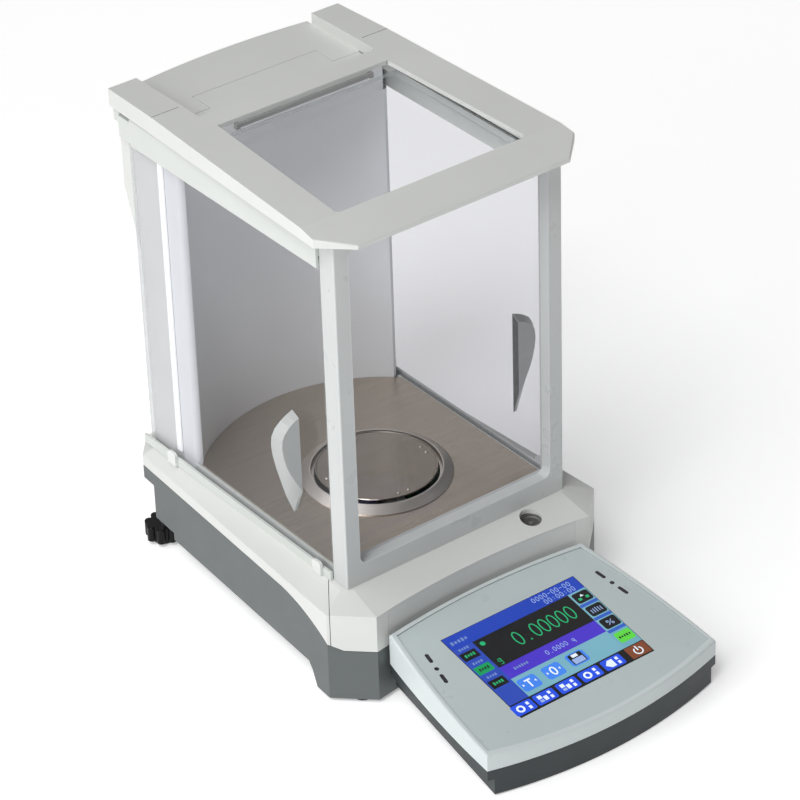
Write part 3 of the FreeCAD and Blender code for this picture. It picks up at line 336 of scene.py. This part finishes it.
ON_NODES = {
    "shell": ["upper_housing", "front_panel", "column_back_cover", "top_cover",
              "top_rear_plate"],
    "trim": ["top_door_grip", "rail_clips_left", "rail_clips_right"],
    "grip": ["left_door_handle", "right_door_handle"],
    "strip": ["top_seal_strip"],
    "column": ["column_front", "column_cap"],
    "rail": ["lower_rail_left", "lower_rail_right", "upper_rail_left", "upper_rail_right",
             "rail_end_left", "rail_end_right"],
    "frame": ["front_frame"],
    "tray": ["lower_housing"],
    "console": ["console_top_shell"],
    "sheet": ["console_face_sheet"],
    "tub": ["console_bottom_shell"],
    "black": ["level_knob_left", "level_knob_right", "power_inlet", "display_module"],
    "vial": ["level_vial_body"],
    "floor": ["floor_plate"],
    "pan": ["weighing_pan"],
    "ring": ["draft_ring"],
    "steel": ["pan_spindle", "level_screw_left", "level_screw_right", "housing_screws",
              "data_port", "console_strap", "cell_magnet"],
    "alloy": ["weighing_cell", "cell_base_plate"],
    "brass": ["foot_bush_left", "foot_bush_right", "board_standoffs"],
    "rubber": ["front_foot_left", "front_foot_right", "level_pad_left", "level_pad_right",
               "console_feet"],
    "board": ["main_board", "console_board"],
    "glass_x": ["left_door_glass", "right_door_glass"],
    "glass_y": ["front_glass"],
    "glass_z": ["top_door_glass", "level_vial_glass"],
    "screen": ["touch_panel"],
    "lens": ["ir_sensor_windows"],
}

# how wide each node's edges are rounded, in millimetres
SOFT_EDGES = {
    "upper_housing": 0.9, "lower_housing": 0.8, "front_panel": 0.3, "column_front": 0.8,
    "column_back_cover": 0.6, "column_cap": 0.6, "top_cover": 0.9, "top_rear_plate": 0.4,
    "front_frame": 1.0, "lower_rail_left": 0.4, "lower_rail_right": 0.4,
    "upper_rail_left": 0.3, "upper_rail_right": 0.3, "console_top_shell": 0.4,
    "console_bottom_shell": 0.6, "console_face_sheet": 0.12, "touch_panel": 0.2,
    "rail_end_left": 0.3, "rail_end_right": 0.3, "rail_clips_left": 0.4,
    "rail_clips_right": 0.4, "top_seal_strip": 0.3,
    "floor_plate": 0.25, "data_port": 0.15, "power_inlet": 0.3, "housing_screws": 0.25,
    "weighing_cell": 0.5, "cell_base_plate": 0.5, "main_board": 0.1, "console_strap": 0.4,
    "left_door_handle": 2.6, "right_door_handle": 2.6,
    "left_door_glass": 0.25, "right_door_glass": 0.25, "front_glass": 0.25,
    "top_door_glass": 0.25,
}
SHARP_EDGE = 32     # degrees between two faces, from which their edge is rounded
GRIP_EDGE = 12      # the same on the finger grips, which are rounded all over


def dress_cad_nodes():
    """Give each node its material and round its edges."""
    for key, names in ON_NODES.items():
        for name in names:
            item = NODES[name]
            item.data.materials.clear()
            item.data.materials.append(MATERIALS[key])
    for name, width in SOFT_EDGES.items():
        bevel = NODES[name].modifiers.new("soft edges", "BEVEL")
        bevel.width = width * MM
        bevel.segments = 3
        bevel.limit_method = "ANGLE"
        bevel.angle_limit = math.radians(GRIP_EDGE if name.endswith("handle") else SHARP_EDGE)
        bevel.harden_normals = False


dress_cad_nodes()


# ---------------------------------------------------------------- small parts


def show(name, form, material, body="balance"):
    """Turn a bmesh into a piece that moves with a body."""
    mesh = bpy.data.meshes.new(name)
    bmesh.ops.recalc_face_normals(form, faces=form.faces)
    form.to_mesh(mesh)
    form.free()
    mesh.materials.append(material)
    item = bpy.data.objects.new(name, mesh)
    bpy.context.scene.collection.objects.link(item)
    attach(item, body)
    return item


def smooth(item):
    """Shade a piece as one curved surface."""
    for face in item.data.polygons:
        face.use_smooth = True


class Picture:
    """The lit picture on the touch screen, drawn as thin tiles in millimetres.

    x runs right and y runs down from the picture's top left corner. Tiles lie in layers, a
    higher one drawn on a lower one.
    """

    LIFT = 0.002     # the underside of every tile, over the glass
    THICK = 0.03     # the step from one layer's top to the next

    def __init__(self):
        panel = NODES["touch_panel"]
        lit_face = max(panel.data.polygons, key=lambda face: face.area * (face.normal.z > 0.5))
        self.normal = lit_face.normal.copy()
        corners = [panel.data.vertices[i].co for i in lit_face.vertices]
        self.right = Vector((1, 0, 0))
        self.down = self.right.cross(self.normal)
        if self.down.y > 0:
            self.down.negate()
        across = [corner.dot(self.right) for corner in corners]
        along = [corner.dot(self.down) for corner in corners]
        self.width = (max(across) - min(across)) / MM
        self.height = (max(along) - min(along)) / MM
        self.origin = (self.right * min(across) + self.down * min(along)
                       + self.normal * corners[0].dot(self.normal))
        self.forms = {}

    def spot(self, x, y, level):
        """A point of the picture, at a level over the glass."""
        return (self.origin + self.right * (x * MM) + self.down * (y * MM)
                + self.normal * (level * MM))

    def tile(self, ink, outline, layer=1):
        """A raised tile of one ink with the given outline."""
        form = self.forms.setdefault((ink, layer), bmesh.new())
        top = layer * self.THICK
        low = [form.verts.new(self.spot(x, y, self.LIFT)) for x, y in outline]
        high = [form.verts.new(self.spot(x, y, top)) for x, y in outline]
        form.faces.new(high)
        count = len(outline)
        for i in range(count):
            j = (i + 1) % count
            form.faces.new((low[i], low[j], high[j], high[i]))

    def panel(self, ink, x0, y0, x1, y1, layer=1, corner=0.0):
        """A rectangle, with its corners cut off where corner is given."""
        if corner:
            c = corner
            self.tile(ink, [(x0 + c, y0), (x1 - c, y0), (x1, y0 + c), (x1, y1 - c), (x1 - c, y1),
                            (x0 + c, y1), (x0, y1 - c), (x0, y0 + c)], layer)
        else:
            self.tile(ink, [(x0, y0), (x1, y0), (x1, y1), (x0, y1)], layer)

    def ring(self, ink, x, y, wide, high, line, layer=3, start=0.0, sweep=360.0):
        """An elliptical stroke, closed when sweep is 360 degrees."""
        steps = 28
        for i in range(steps):
            a = math.radians(start + sweep * i / steps)
            b = math.radians(start + sweep * (i + 1) / steps)
            outline = []
            for angle, reach in ((a, 0.0), (b, 0.0), (b, line), (a, line)):
                outline.append((x + math.cos(angle) * (wide / 2 - reach),
                                y + math.sin(angle) * (high / 2 - reach)))
            self.tile(ink, outline, layer)

    def dot(self, ink, x, y, size):
        """A round dot, size across."""
        corners = [(x + math.cos(k * math.pi / 8) * size / 2,
                    y + math.sin(k * math.pi / 8) * size / 2) for k in range(16)]
        self.tile(ink, corners, 3)

    def stroke(self, ink, x0, y0, x1, y1, line, layer=3):
        """A straight line from one point to another."""
        length = math.hypot(x1 - x0, y1 - y0)
        nx = (y1 - y0) / length * line / 2
        ny = -(x1 - x0) / length * line / 2
        self.tile(ink, [(x0 + nx, y0 + ny), (x1 + nx, y1 + ny), (x1 - nx, y1 - ny),
                        (x0 - nx, y0 - ny)], layer)

    def zeros(self, ink, pattern, x, y, step, high, line, wide=0.74):
        """A plain reading: 0 draws a nought, and . : and - draw themselves."""
        for sign in pattern:
            if sign == "0":
                self.ring(ink, x, y, step * wide, high, line)
            elif sign == ".":
                self.dot(ink, x, y + high * 0.42, line * 1.5)
            elif sign == ":":
                self.dot(ink, x, y - high * 0.2, line * 1.4)
                self.dot(ink, x, y + high * 0.2, line * 1.4)
            elif sign == "-":
                self.stroke(ink, x - step * 0.3, y, x + step * 0.3, y, line)
            x += step

    def blocks(self, ink, x, y, count, step, high):
        """A short row of plain blocks where a caption would stand."""
        for i in range(count):
            lift = high * (0.5, 0.34, 0.42)[i % 3]
            self.panel(ink, x + i * step, y - lift, x + (i + 0.62) * step, y + lift * 0.8, 3)

    def finish(self):
        """Make one piece of each ink in each layer."""
        for (ink, layer), form in self.forms.items():
            show(f"screen_{ink}_{layer}", form, INKS[ink])


# scene-linear colours of the lit areas
INK_COLORS = {
    "blue": (0.010, 0.048, 0.43), "side_blue": (0.020, 0.060, 0.42), "teal": (0.17, 0.40, 0.50),
    "black": (0.004, 0.004, 0.005), "green": (0.012, 0.42, 0.16), "violet": (0.060, 0.028, 0.52),
    "pale": (0.30, 0.42, 0.72), "white": (0.78, 0.86, 0.95), "button": (0.05, 0.22, 0.80),
    "key_blue": (0.014, 0.075, 0.72), "lime": (0.10, 0.62, 0.05), "brown": (0.20, 0.055, 0.02),
    "dim": (0.16, 0.26, 0.50), "line_blue": (0.03, 0.10, 0.50), "box_green": (0.002, 0.30, 0.085),
}
INKS = {name: lit(f"lit_{name}", color, 0.85) for name, color in INK_COLORS.items()}


# where the fields of the screen meet, as shares of its width and height
LEFT_EDGE = 0.145
RIGHT_EDGE = 0.865
BAR_EDGE = 0.15
READING_EDGE = 0.487
BAND_EDGE = 0.632
KEYS_EDGE = 0.63
ROW_EDGE = 0.855
ROW_MIDDLE = 0.926
MARGIN = 0.4    # millimetres


def draw_fields(p):
    """The coloured fields that the marks stand on."""
    w = p.width
    h = p.height
    right = w - MARGIN
    p.panel("blue", MARGIN, MARGIN, right, h * BAR_EDGE)
    p.panel("side_blue", MARGIN, h * BAR_EDGE, w * LEFT_EDGE, h - MARGIN)
    p.panel("teal", w * LEFT_EDGE, h * KEYS_EDGE, right, h * ROW_EDGE)
    p.panel("teal", w * RIGHT_EDGE, h * BAR_EDGE, right, h * ROW_EDGE)
    p.panel("black", w * LEFT_EDGE, h * BAR_EDGE, w * RIGHT_EDGE, h * READING_EDGE, 2)
    p.panel("violet", w * LEFT_EDGE, h * READING_EDGE, w * RIGHT_EDGE, h * BAND_EDGE, 2)
    p.panel("black", w * 0.004, h * ROW_EDGE, w * 0.997, h * 0.996, 2)


def draw_reading(p):
    """The large reading with its stable and unit marks, and a small reading in the band."""
    w = p.width
    h = p.height
    p.zeros("green", "0.00000", w * 0.392, h * 0.312, 7.7, 13.4, 1.0, wide=0.84)
    p.dot("green", w * 0.19, h * 0.207, 4.0)
    unit = w * 0.187
    p.ring("green", unit, h * 0.422, 2.6, 3.4, 0.5)
    p.stroke("green", unit + 1.3, h * 0.405, unit + 1.3, h * 0.462, 0.5)
    p.stroke("green", unit - 1.1, h * 0.466, unit + 1.5, h * 0.466, 0.5)
    p.zeros("pale", "0.0000", w * 0.46, h * 0.56, 3.3, 4.4, 0.5)
    unit = w * 0.655
    p.ring("pale", unit, h * 0.562, 2.0, 2.8, 0.45)
    p.stroke("pale", unit + 1.0, h * 0.55, unit + 1.0, h * 0.595, 0.45)
    p.blocks("dim", w * 0.215, h * 0.56, 6, 2.1, 2.8)


def draw_top_bar(p):
    """A caption on the left, and a date and a clock of zeros on the right."""
    w = p.width
    h = p.height
    p.blocks("dim", w * 0.03, h * 0.085, 5, 2.9, 3.6)
    p.zeros("pale", "0000-00-00", w * 0.665, h * 0.05, 3.45, 4.6, 0.5)
    p.zeros("pale", "00:00:00", w * 0.725, h * 0.112, 3.45, 4.6, 0.5)


def draw_left_column(p):
    """Three captions, each over a small box."""
    w = p.width
    h = p.height
    for y, ink, mark in ((0.254, "black", "green"), (0.43, "box_green", "black"),
                         (0.606, "black", "green")):
        p.panel(ink, w * 0.012, h * (y - 0.045), w * 0.125, h * (y + 0.045), 2)
        p.blocks(mark, w * 0.036, h * y, 4, 2.2, 3.0)
        p.blocks("dim", w * 0.036, h * (y - 0.082), 4, 2.2, 2.4)


def draw_right_column(p):
    """Four keys with plain signs, and lines between them."""
    w = p.width
    h = p.height
    keys = (0.225, 0.395, 0.565, 0.745)
    for y in keys:
        p.panel("lime" if y == keys[-1] else "black", w * 0.878, h * (y - 0.058), w * 0.992,
                h * (y + 0.058), 2, 1.2)
    for y in (0.31, 0.48, 0.65):
        p.panel("line_blue", w * 0.868, h * (y - 0.016), w * 0.995, h * (y + 0.016), 2)
    x = w * 0.935
    first, second, third, last = (h * y for y in keys)
    p.panel("green", x - 4.4, first + 0.2, x - 1.8, first + 2.6, 3)
    p.panel("green", x + 1.8, first + 0.2, x + 4.4, first + 2.6, 3)
    p.tile("white", [(x, first - 2.8), (x + 1.5, first - 0.6), (x - 1.5, first - 0.6)], 3)
    for i in range(5):
        post = x - 4 + i * 2
        p.stroke("pale", post, second - 2.4 + abs(i - 2) * 0.5, post, second + 2.4, 0.7)
    p.ring("pale", x - 1.6, third - 1.3, 2.2, 2.2, 0.6)
    p.ring("pale", x + 1.6, third + 1.3, 2.2, 2.2, 0.6)
    p.stroke("pale", x - 2.2, third + 2.2, x + 2.2, third - 2.2, 0.6)
    p.blocks("black", x - 4.8, last, 5, 2.1, 2.4)


def draw_middle_keys(p):
    """The tare, zero and store keys below the band."""
    w = p.width
    h = p.height
    tare = 0.218
    zero = 0.397
    level = 0.742
    for x in (tare, zero):
        p.panel("button", w * x - 7.6, h * level - 6.2, w * x + 7.6, h * level + 6.2, 2, 1.6)
        for side in (-1, 1):
            p.tile("white", [(w * x + side * 4.2, h * level),
                             (w * x + side * 5.8, h * level - 1.2),
                             (w * x + side * 5.8, h * level + 1.2)][::side], 3)
    p.stroke("white", w * tare - 2.6, h * level - 3.1, w * tare + 2.6, h * level - 3.1, 1.3)
    p.stroke("white", w * tare, h * level - 3.4, w * tare, h * level + 3.9, 1.3)
    p.ring("white", w * zero, h * level, 5.0, 8.2, 1.2)
    x = w * 0.58
    y = h * 0.735
    p.panel("button", x - 7.6, y - 5.9, x + 7.6, y + 5.9, 2, 1.6)
    p.panel("black", x - 5.6, y - 4.9, x + 5.6, y + 4.9, 3, 0.8)
    p.panel("pale", x - 4.6, y - 0.6, x + 4.6, y + 4.4, 4)
    p.panel("white", x - 2.8, y - 4.4, x + 2.0, y - 1.6, 4)


def draw_bottom_row(p):
    """Five icon keys."""
    y = p.height * ROW_MIDDLE
    for number, share in enumerate((0.064, 0.224, 0.393, 0.562, 0.731)):
        x = share * p.width
        p.panel("key_blue", x - 8.6, y - 5.0, x + 8.6, y + 5.0, 3, 1.0)
        if number in (0, 3):
            p.ring("white", x - 2.6, y, 6.4, 6.4, 1.5, 4)
        elif number == 4:
            p.tile("white", [(x - 6.2, y), (x - 3.0, y - 3.4), (x + 1.0, y - 3.4),
                             (x + 1.0, y + 3.4), (x - 3.0, y + 3.4)], 4)
        else:
            p.panel("white", x - 5.6, y - 3.2, x - 2.4, y, 4)
            p.panel("white", x - 1.6, y - 1.0, x + 1.4, y + 3.0, 4)
            p.panel("pale", x - 5.6, y + 0.9, x - 2.6, y + 3.2, 4)
        p.panel("white", x + 3.4, y - 3.4, x + 5.6, y - 0.8, 4)
        p.panel("white", x + 3.4, y + 0.6, x + 5.6, y + 3.4, 4)


def draw_power_key(p):
    """The power key at the right end of the row."""
    x = p.width * 0.922
    y = p.height * ROW_MIDDLE
    p.panel("brown", x - 8.4, y - 5.6, x + 8.4, y + 5.6, 3)
    p.ring("white", x, y + 0.4, 7.4, 7.4, 1.0, 4, -55, 290)
    p.stroke("white", x, y - 4.2, x, y + 0.2, 1.1, 4)


def draw_screen():
    """A plain weighing screen, drawn area by area."""
    p = Picture()
    for draw in (draw_fields, draw_reading, draw_top_bar, draw_left_column, draw_right_column,
                 draw_middle_keys, draw_bottom_row, draw_power_key):
        draw(p)
    p.finish()


def outline_on_plane(node, axis, level):
    """Corners of a CAD node that lie on the plane axis = level, as a convex outline."""
    near = 0.02 * MM
    others = [i for i in range(3) if i != axis]
    points = sorted({(round(v.co[others[0]], 6), round(v.co[others[1]], 6))
                     for v in NODES[node].data.vertices if abs(v.co[axis] - level) < near})

    def half(sequence):
        """The corners that bulge outwards on one side of the outline."""
        chain = []
        for point in sequence:
            while len(chain) > 1 and ((chain[-1][0] - chain[-2][0]) * (point[1] - chain[-2][1])
                                      - (chain[-1][1] - chain[-2][1])
                                      * (point[0] - chain[-2][0])) <= 0:
                chain.pop()
            chain.append(point)
        return chain[:-1]

    return half(points) + half(points[::-1])


def make_grip_pads():
    """Speckled adhesive pads that hold the finger grips to the side doors."""
    depths = (0.06, 0.16)    # the pad's two faces, in millimetres below the glass's outer face
    shrink_y = 0.80          # the pad's size, as shares of the grip's flat back
    shrink_z = 0.972
    s = Shader("adhesive_pad")
    speck = s.ramp(s.noise(s.place(), 900.0, 3.0), [(0.52, 0.0), (0.66, 1.0)])
    base = s.mix(speck, (0.105, 0.112, 0.112), (0.24, 0.25, 0.25))
    material = s.surface(Base_Color=base, Roughness=0.7, Normal=s.bump(speck, 0.3))
    for side, name in ((-1, "left"), (1, "right")):
        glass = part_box(f"{name}_door_glass")
        face = glass[1][0] if side > 0 else glass[0][0]
        outline = outline_on_plane(f"{name}_door_handle", 0, face)
        centre_y = (min(p[0] for p in outline) + max(p[0] for p in outline)) / 2
        centre_z = (min(p[1] for p in outline) + max(p[1] for p in outline)) / 2
        form = bmesh.new()
        rings = []
        for depth in depths:
            rings.append([form.verts.new((face - side * depth * MM,
                                          centre_y + (y - centre_y) * shrink_y,
                                          centre_z + (z - centre_z) * shrink_z))
                          for y, z in outline])
        for ring in rings:
            form.faces.new(ring)
        count = len(outline)
        for i in range(count):
            j = (i + 1) % count
            form.faces.new((rings[0][i], rings[0][j], rings[1][j], rings[1][i]))
        show(f"grip_pad_{name}", form, material, f"{name}_door")


def make_weld_marks():
    """Four pairs of small pressed marks near the rim of the pan."""
    reach = 38.5      # from the pan's centre to a mark, in millimetres
    size = 1.2        # a mark's radius
    flatness = 0.6
    first = -8        # degrees, the direction of the first pair
    spread = 6.0      # degrees to each side of a pair's middle
    x, y = middle("weighing_pan")
    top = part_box("weighing_pan")[1][2] - 0.5 * MM    # the pan's face, inside its raised rim
    form = bmesh.new()
    for quarter in range(4):
        for offset in (-spread, spread):
            angle = math.radians(first + quarter * 90 + offset)
            spot = (x + math.cos(angle) * reach * MM, y + math.sin(angle) * reach * MM,
                    top + 0.02 * MM)
            made = bmesh.ops.create_uvsphere(form, u_segments=16, v_segments=8, radius=size * MM)
            bmesh.ops.scale(form, vec=(1, 1, flatness), verts=made["verts"])
            bmesh.ops.translate(form, vec=spot, verts=made["verts"])
    smooth(show("pan_weld_marks", form, MATERIALS["ring"], "pan"))


def make_vial_fluid(x, y, base):
    """The dark fluid, a short round column about the vial's axis."""
    radius = 6.3 * MM
    s = Shader("vial_fluid")
    cloud = s.noise(s.place(), 120.0, 2.0)
    fluid = s.surface(Base_Color=s.mix(cloud, (0.085, 0.082, 0.072), (0.11, 0.106, 0.094)),
                      Roughness=0.12)
    form = bmesh.new()
    bmesh.ops.create_cone(form, cap_ends=True, segments=48, radius1=radius, radius2=radius,
                          depth=1.2 * MM, matrix=Matrix.Translation((x, y, base + 9.4 * MM)))
    show("vial_fluid", form, fluid)


def make_vial_bubble(x, y, base):
    """The flat bubble, resting a little off centre."""
    s = Shader("vial_bubble")
    shine = s.noise(s.place(), 200.0, 2.0)
    bubble = s.surface(Base_Color=s.mix(shine, (0.11, 0.12, 0.11), (0.15, 0.16, 0.15)),
                       Roughness=0.08)
    form = bmesh.new()
    made = bmesh.ops.create_uvsphere(form, u_segments=24, v_segments=12, radius=1.9 * MM)
    bmesh.ops.scale(form, vec=(1, 1, 0.35), verts=made["verts"])
    bmesh.ops.translate(form, vec=(x + 0.4 * MM, y - 0.3 * MM, base + 10.1 * MM),
                        verts=made["verts"])
    smooth(show("vial_bubble", form, bubble))


def make_vial_rings(x, y, base):
    """Two fine black target rings around the bubble."""
    half_line = 0.12
    steps = 48
    form = bmesh.new()
    for radius in (2.6, 4.4):
        inner = []
        outer = []
        for k in range(steps):
            angle = k * math.pi / (steps / 2)
            for chain, reach in ((inner, radius - half_line), (outer, radius + half_line)):
                chain.append(form.verts.new((x + math.cos(angle) * reach * MM,
                                             y + math.sin(angle) * reach * MM,
                                             base + 10.05 * MM)))
        for k in range(steps):
            n = (k + 1) % steps
            form.faces.new((inner[k], outer[k], outer[n], inner[n]))
    show("vial_target_rings", form, MATERIALS["black"])


def make_level():
    """The fluid, bubble and target rings under the glass of the level vial."""
    x, y = middle("level_vial_glass")
    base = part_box("level_vial_glass")[0][2]
    for make in (make_vial_fluid, make_vial_bubble, make_vial_rings):
        make(x, y, base)


def block(form, low, high):
    """An upright box between two corners in metres."""
    made = bmesh.ops.create_cube(form, size=1.0)
    size = [b - a for a, b in zip(low, high)]
    middle = [(a + b) / 2 for a, b in zip(low, high)]
    bmesh.ops.scale(form, vec=size, verts=made["verts"])
    bmesh.ops.translate(form, vec=middle, verts=made["verts"])


def make_rail_lines():
    """The guide slot, painted as the shadow in it in three thin dark runs on the face, and the
    raised lip on each upper track's inner face.
    """
    line = 0.1      # how far the slot's painted shadow stands off the face, in millimetres
    lip = 0.7       # how far the lip stands off it
    bridge = 1.4    # the gap between two runs
    slot = Shader("slot_shadow")
    # painted shade: a thin dark sheet on the face stands in for the shadow inside the slot
    dark = slot.surface(Base_Color=slot.mix(slot.noise(slot.place(), 300.0), (0.03, 0.03, 0.028),
                                            (0.05, 0.05, 0.046)), Roughness=0.7)
    for side, name in ((-1, "left"), (1, "right")):
        low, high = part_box(f"upper_rail_{name}")
        face = high[0] if side < 0 else low[0]
        front = low[1] + 8 * MM
        rear = high[1] - 4 * MM
        bridges = (front + 0.26 * (rear - front), front + 0.58 * (rear - front))
        runs = [(front, bridges[0]), (bridges[0] + bridge * MM, bridges[1]),
                (bridges[1] + bridge * MM, rear)]
        reach = face - side * line * MM
        form = bmesh.new()
        for start, end in runs:
            block(form, (min(face, reach), start, high[2] - 5.4 * MM),
                  (max(face, reach), end, high[2] - 4.7 * MM))
        show(f"rail_slot_painted_shadow_{name}", form, dark)
        reach = face - side * lip * MM
        form = bmesh.new()
        block(form, (min(face, reach), front, high[2] - 3.9 * MM),
              (max(face, reach), rear, high[2] - 2.5 * MM))
        show(f"rail_lip_{name}", form, MATERIALS["rail"])


def make_column_seals():
    """White pile strips beside the door glass, along the front edge of the rear cover; their faint
    glow is a painted highlight.
    """
    s = Shader("pile_strip_with_painted_glow")
    pile = s.noise(s.place((1.0, 1.0, 0.25)), 2400.0, 3.0, 0.7)
    # the emission is a painted highlight: the strip glows a little though it is no lamp
    white = s.surface(Base_Color=s.mix(pile, (0.86, 0.87, 0.875), (0.93, 0.935, 0.94)),
                      Roughness=0.9, Normal=s.bump(pile, 0.5, 0.3 * MM),
                      **{"Emission Color": (1.0, 1.0, 1.0), "Emission Strength": 0.26})
    low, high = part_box("column_front")
    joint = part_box("column_back_cover")[0][1]
    for side, name in ((-1, "left"), (1, "right")):
        face = (high[0] if side > 0 else low[0]) + side * 0.3 * MM
        reach = face + side * 1.35 * MM
        form = bmesh.new()
        block(form, (min(face, reach), joint - 0.2 * MM, low[2] + 9 * MM),
              (max(face, reach), joint + 5.0 * MM, high[2] - 2 * MM))
        show(f"column_pile_{name}", form, white)


draw_screen()
make_rail_lines()
make_column_seals()
make_grip_pads()
make_weld_marks()
make_level()


# ---------------------------------------------------------------- camera, floor and light


def make_camera():
    """A long lens from the front left and above."""
    spot = Vector((-1.28185, -1.71362, 1.55744))
    turn = math.radians(-36.55)
    lift = math.radians(32.91)
    roll = math.radians(-1.93)
    back = Vector((math.sin(turn) * math.cos(lift), -math.cos(turn) * math.cos(lift),
                   math.sin(lift)))
    right = Vector((math.cos(turn), math.sin(turn), 0))
    up = back.cross(right)
    side = right * math.cos(roll) + up * math.sin(roll)
    top = up * math.cos(roll) - right * math.sin(roll)
    data = bpy.data.cameras.new("camera")
    data.lens = 166.2
    data.sensor_width = 36
    data.clip_end = 20
    camera = bpy.data.objects.new("camera", data)
    bpy.context.scene.collection.objects.link(camera)
    camera.matrix_world = Matrix((
        (side.x, top.x, back.x, spot.x),
        (side.y, top.y, back.y, spot.y),
        (side.z, top.z, back.z, spot.z),
        (0, 0, 0, 1)))
    bpy.context.scene.camera = camera


def make_floor():
    """A pale matt floor, just below the feet, that glows a little."""
    mesh = bpy.data.meshes.new("floor")
    form = bmesh.new()
    bmesh.ops.create_grid(form, x_segments=2, y_segments=2, size=6)
    form.to_mesh(mesh)
    form.free()
    floor = bpy.data.objects.new("floor", mesh)
    bpy.context.scene.collection.objects.link(floor)
    floor.location = (0, 0, -0.4 * MM)
    s = Shader("pale_floor")
    speck = s.noise(s.place(), 3.0, 2.0)
    color = s.mix(speck, (0.925, 0.925, 0.925), (0.94, 0.94, 0.94))
    mesh.materials.append(s.surface(
        Base_Color=color, Roughness=0.9,
        **{"Emission Color": (1.0, 1.0, 1.0), "Emission Strength": 0.32,
           "Specular IOR Level": 0.1}))


def aim(light, source, target):
    """Turn a light so that it shines from source to target."""
    direction = Vector(target) - Vector(source)
    light.rotation_euler = direction.to_track_quat("-Z", "Y").to_euler()


def area_light(name, spot, target, size, power):
    """A square soft box."""
    data = bpy.data.lights.new(name, "AREA")
    data.shape = "RECTANGLE"
    data.size = size
    data.size_y = size
    data.energy = power
    light = bpy.data.objects.new(name, data)
    bpy.context.scene.collection.objects.link(light)
    light.location = spot
    aim(light, spot, target)


def broad_light(name, source, strength, spread):
    """Even light from one side of the studio, softened over an angle in degrees."""
    data = bpy.data.lights.new(name, "SUN")
    data.energy = strength
    data.angle = math.radians(spread)
    light = bpy.data.objects.new(name, data)
    bpy.context.scene.collection.objects.link(light)
    aim(light, source, (0, 0, 0))


def make_world():
    """A faint even light all round, behind which the backdrop is seen as pale."""
    world = bpy.data.worlds.new("studio")
    bpy.context.scene.world = world
    world.use_nodes = True
    nodes = world.node_tree.nodes
    links = world.node_tree.links
    ambient = nodes["Background"]
    ambient.inputs["Color"].default_value = (1.0, 1.0, 1.0, 1.0)
    ambient.inputs["Strength"].default_value = 0.09
    backdrop = nodes.new("ShaderNodeBackground")
    backdrop.inputs["Color"].default_value = (0.97, 0.97, 0.97, 1.0)
    seen = nodes.new("ShaderNodeLightPath")
    mixed = nodes.new("ShaderNodeMixShader")
    links.new(seen.outputs["Is Camera Ray"], mixed.inputs[0])
    links.new(ambient.outputs[0], mixed.inputs[1])
    links.new(backdrop.outputs[0], mixed.inputs[2])
    links.new(mixed.outputs[0], nodes["World Output"].inputs["Surface"])


def make_lights():
    """Three broad lights and a soft box on the left."""
    broad_light("broad_left", source=(-0.60, 0.10, 0.80), strength=1.22, spread=60)
    broad_light("crisp_front", source=(-0.55, -0.35, 0.90), strength=0.95, spread=22)
    broad_light("broad_right", source=(0.50, 0.67, 0.62), strength=0.20, spread=44)
    area_light("key_left", spot=(-0.92, -0.28, 0.62), target=(0, -0.04, 0.30), size=0.6,
               power=3.7)


make_camera()
make_floor()
make_world()
make_lights()

bpy.context.scene.view_settings.view_transform = "Standard"
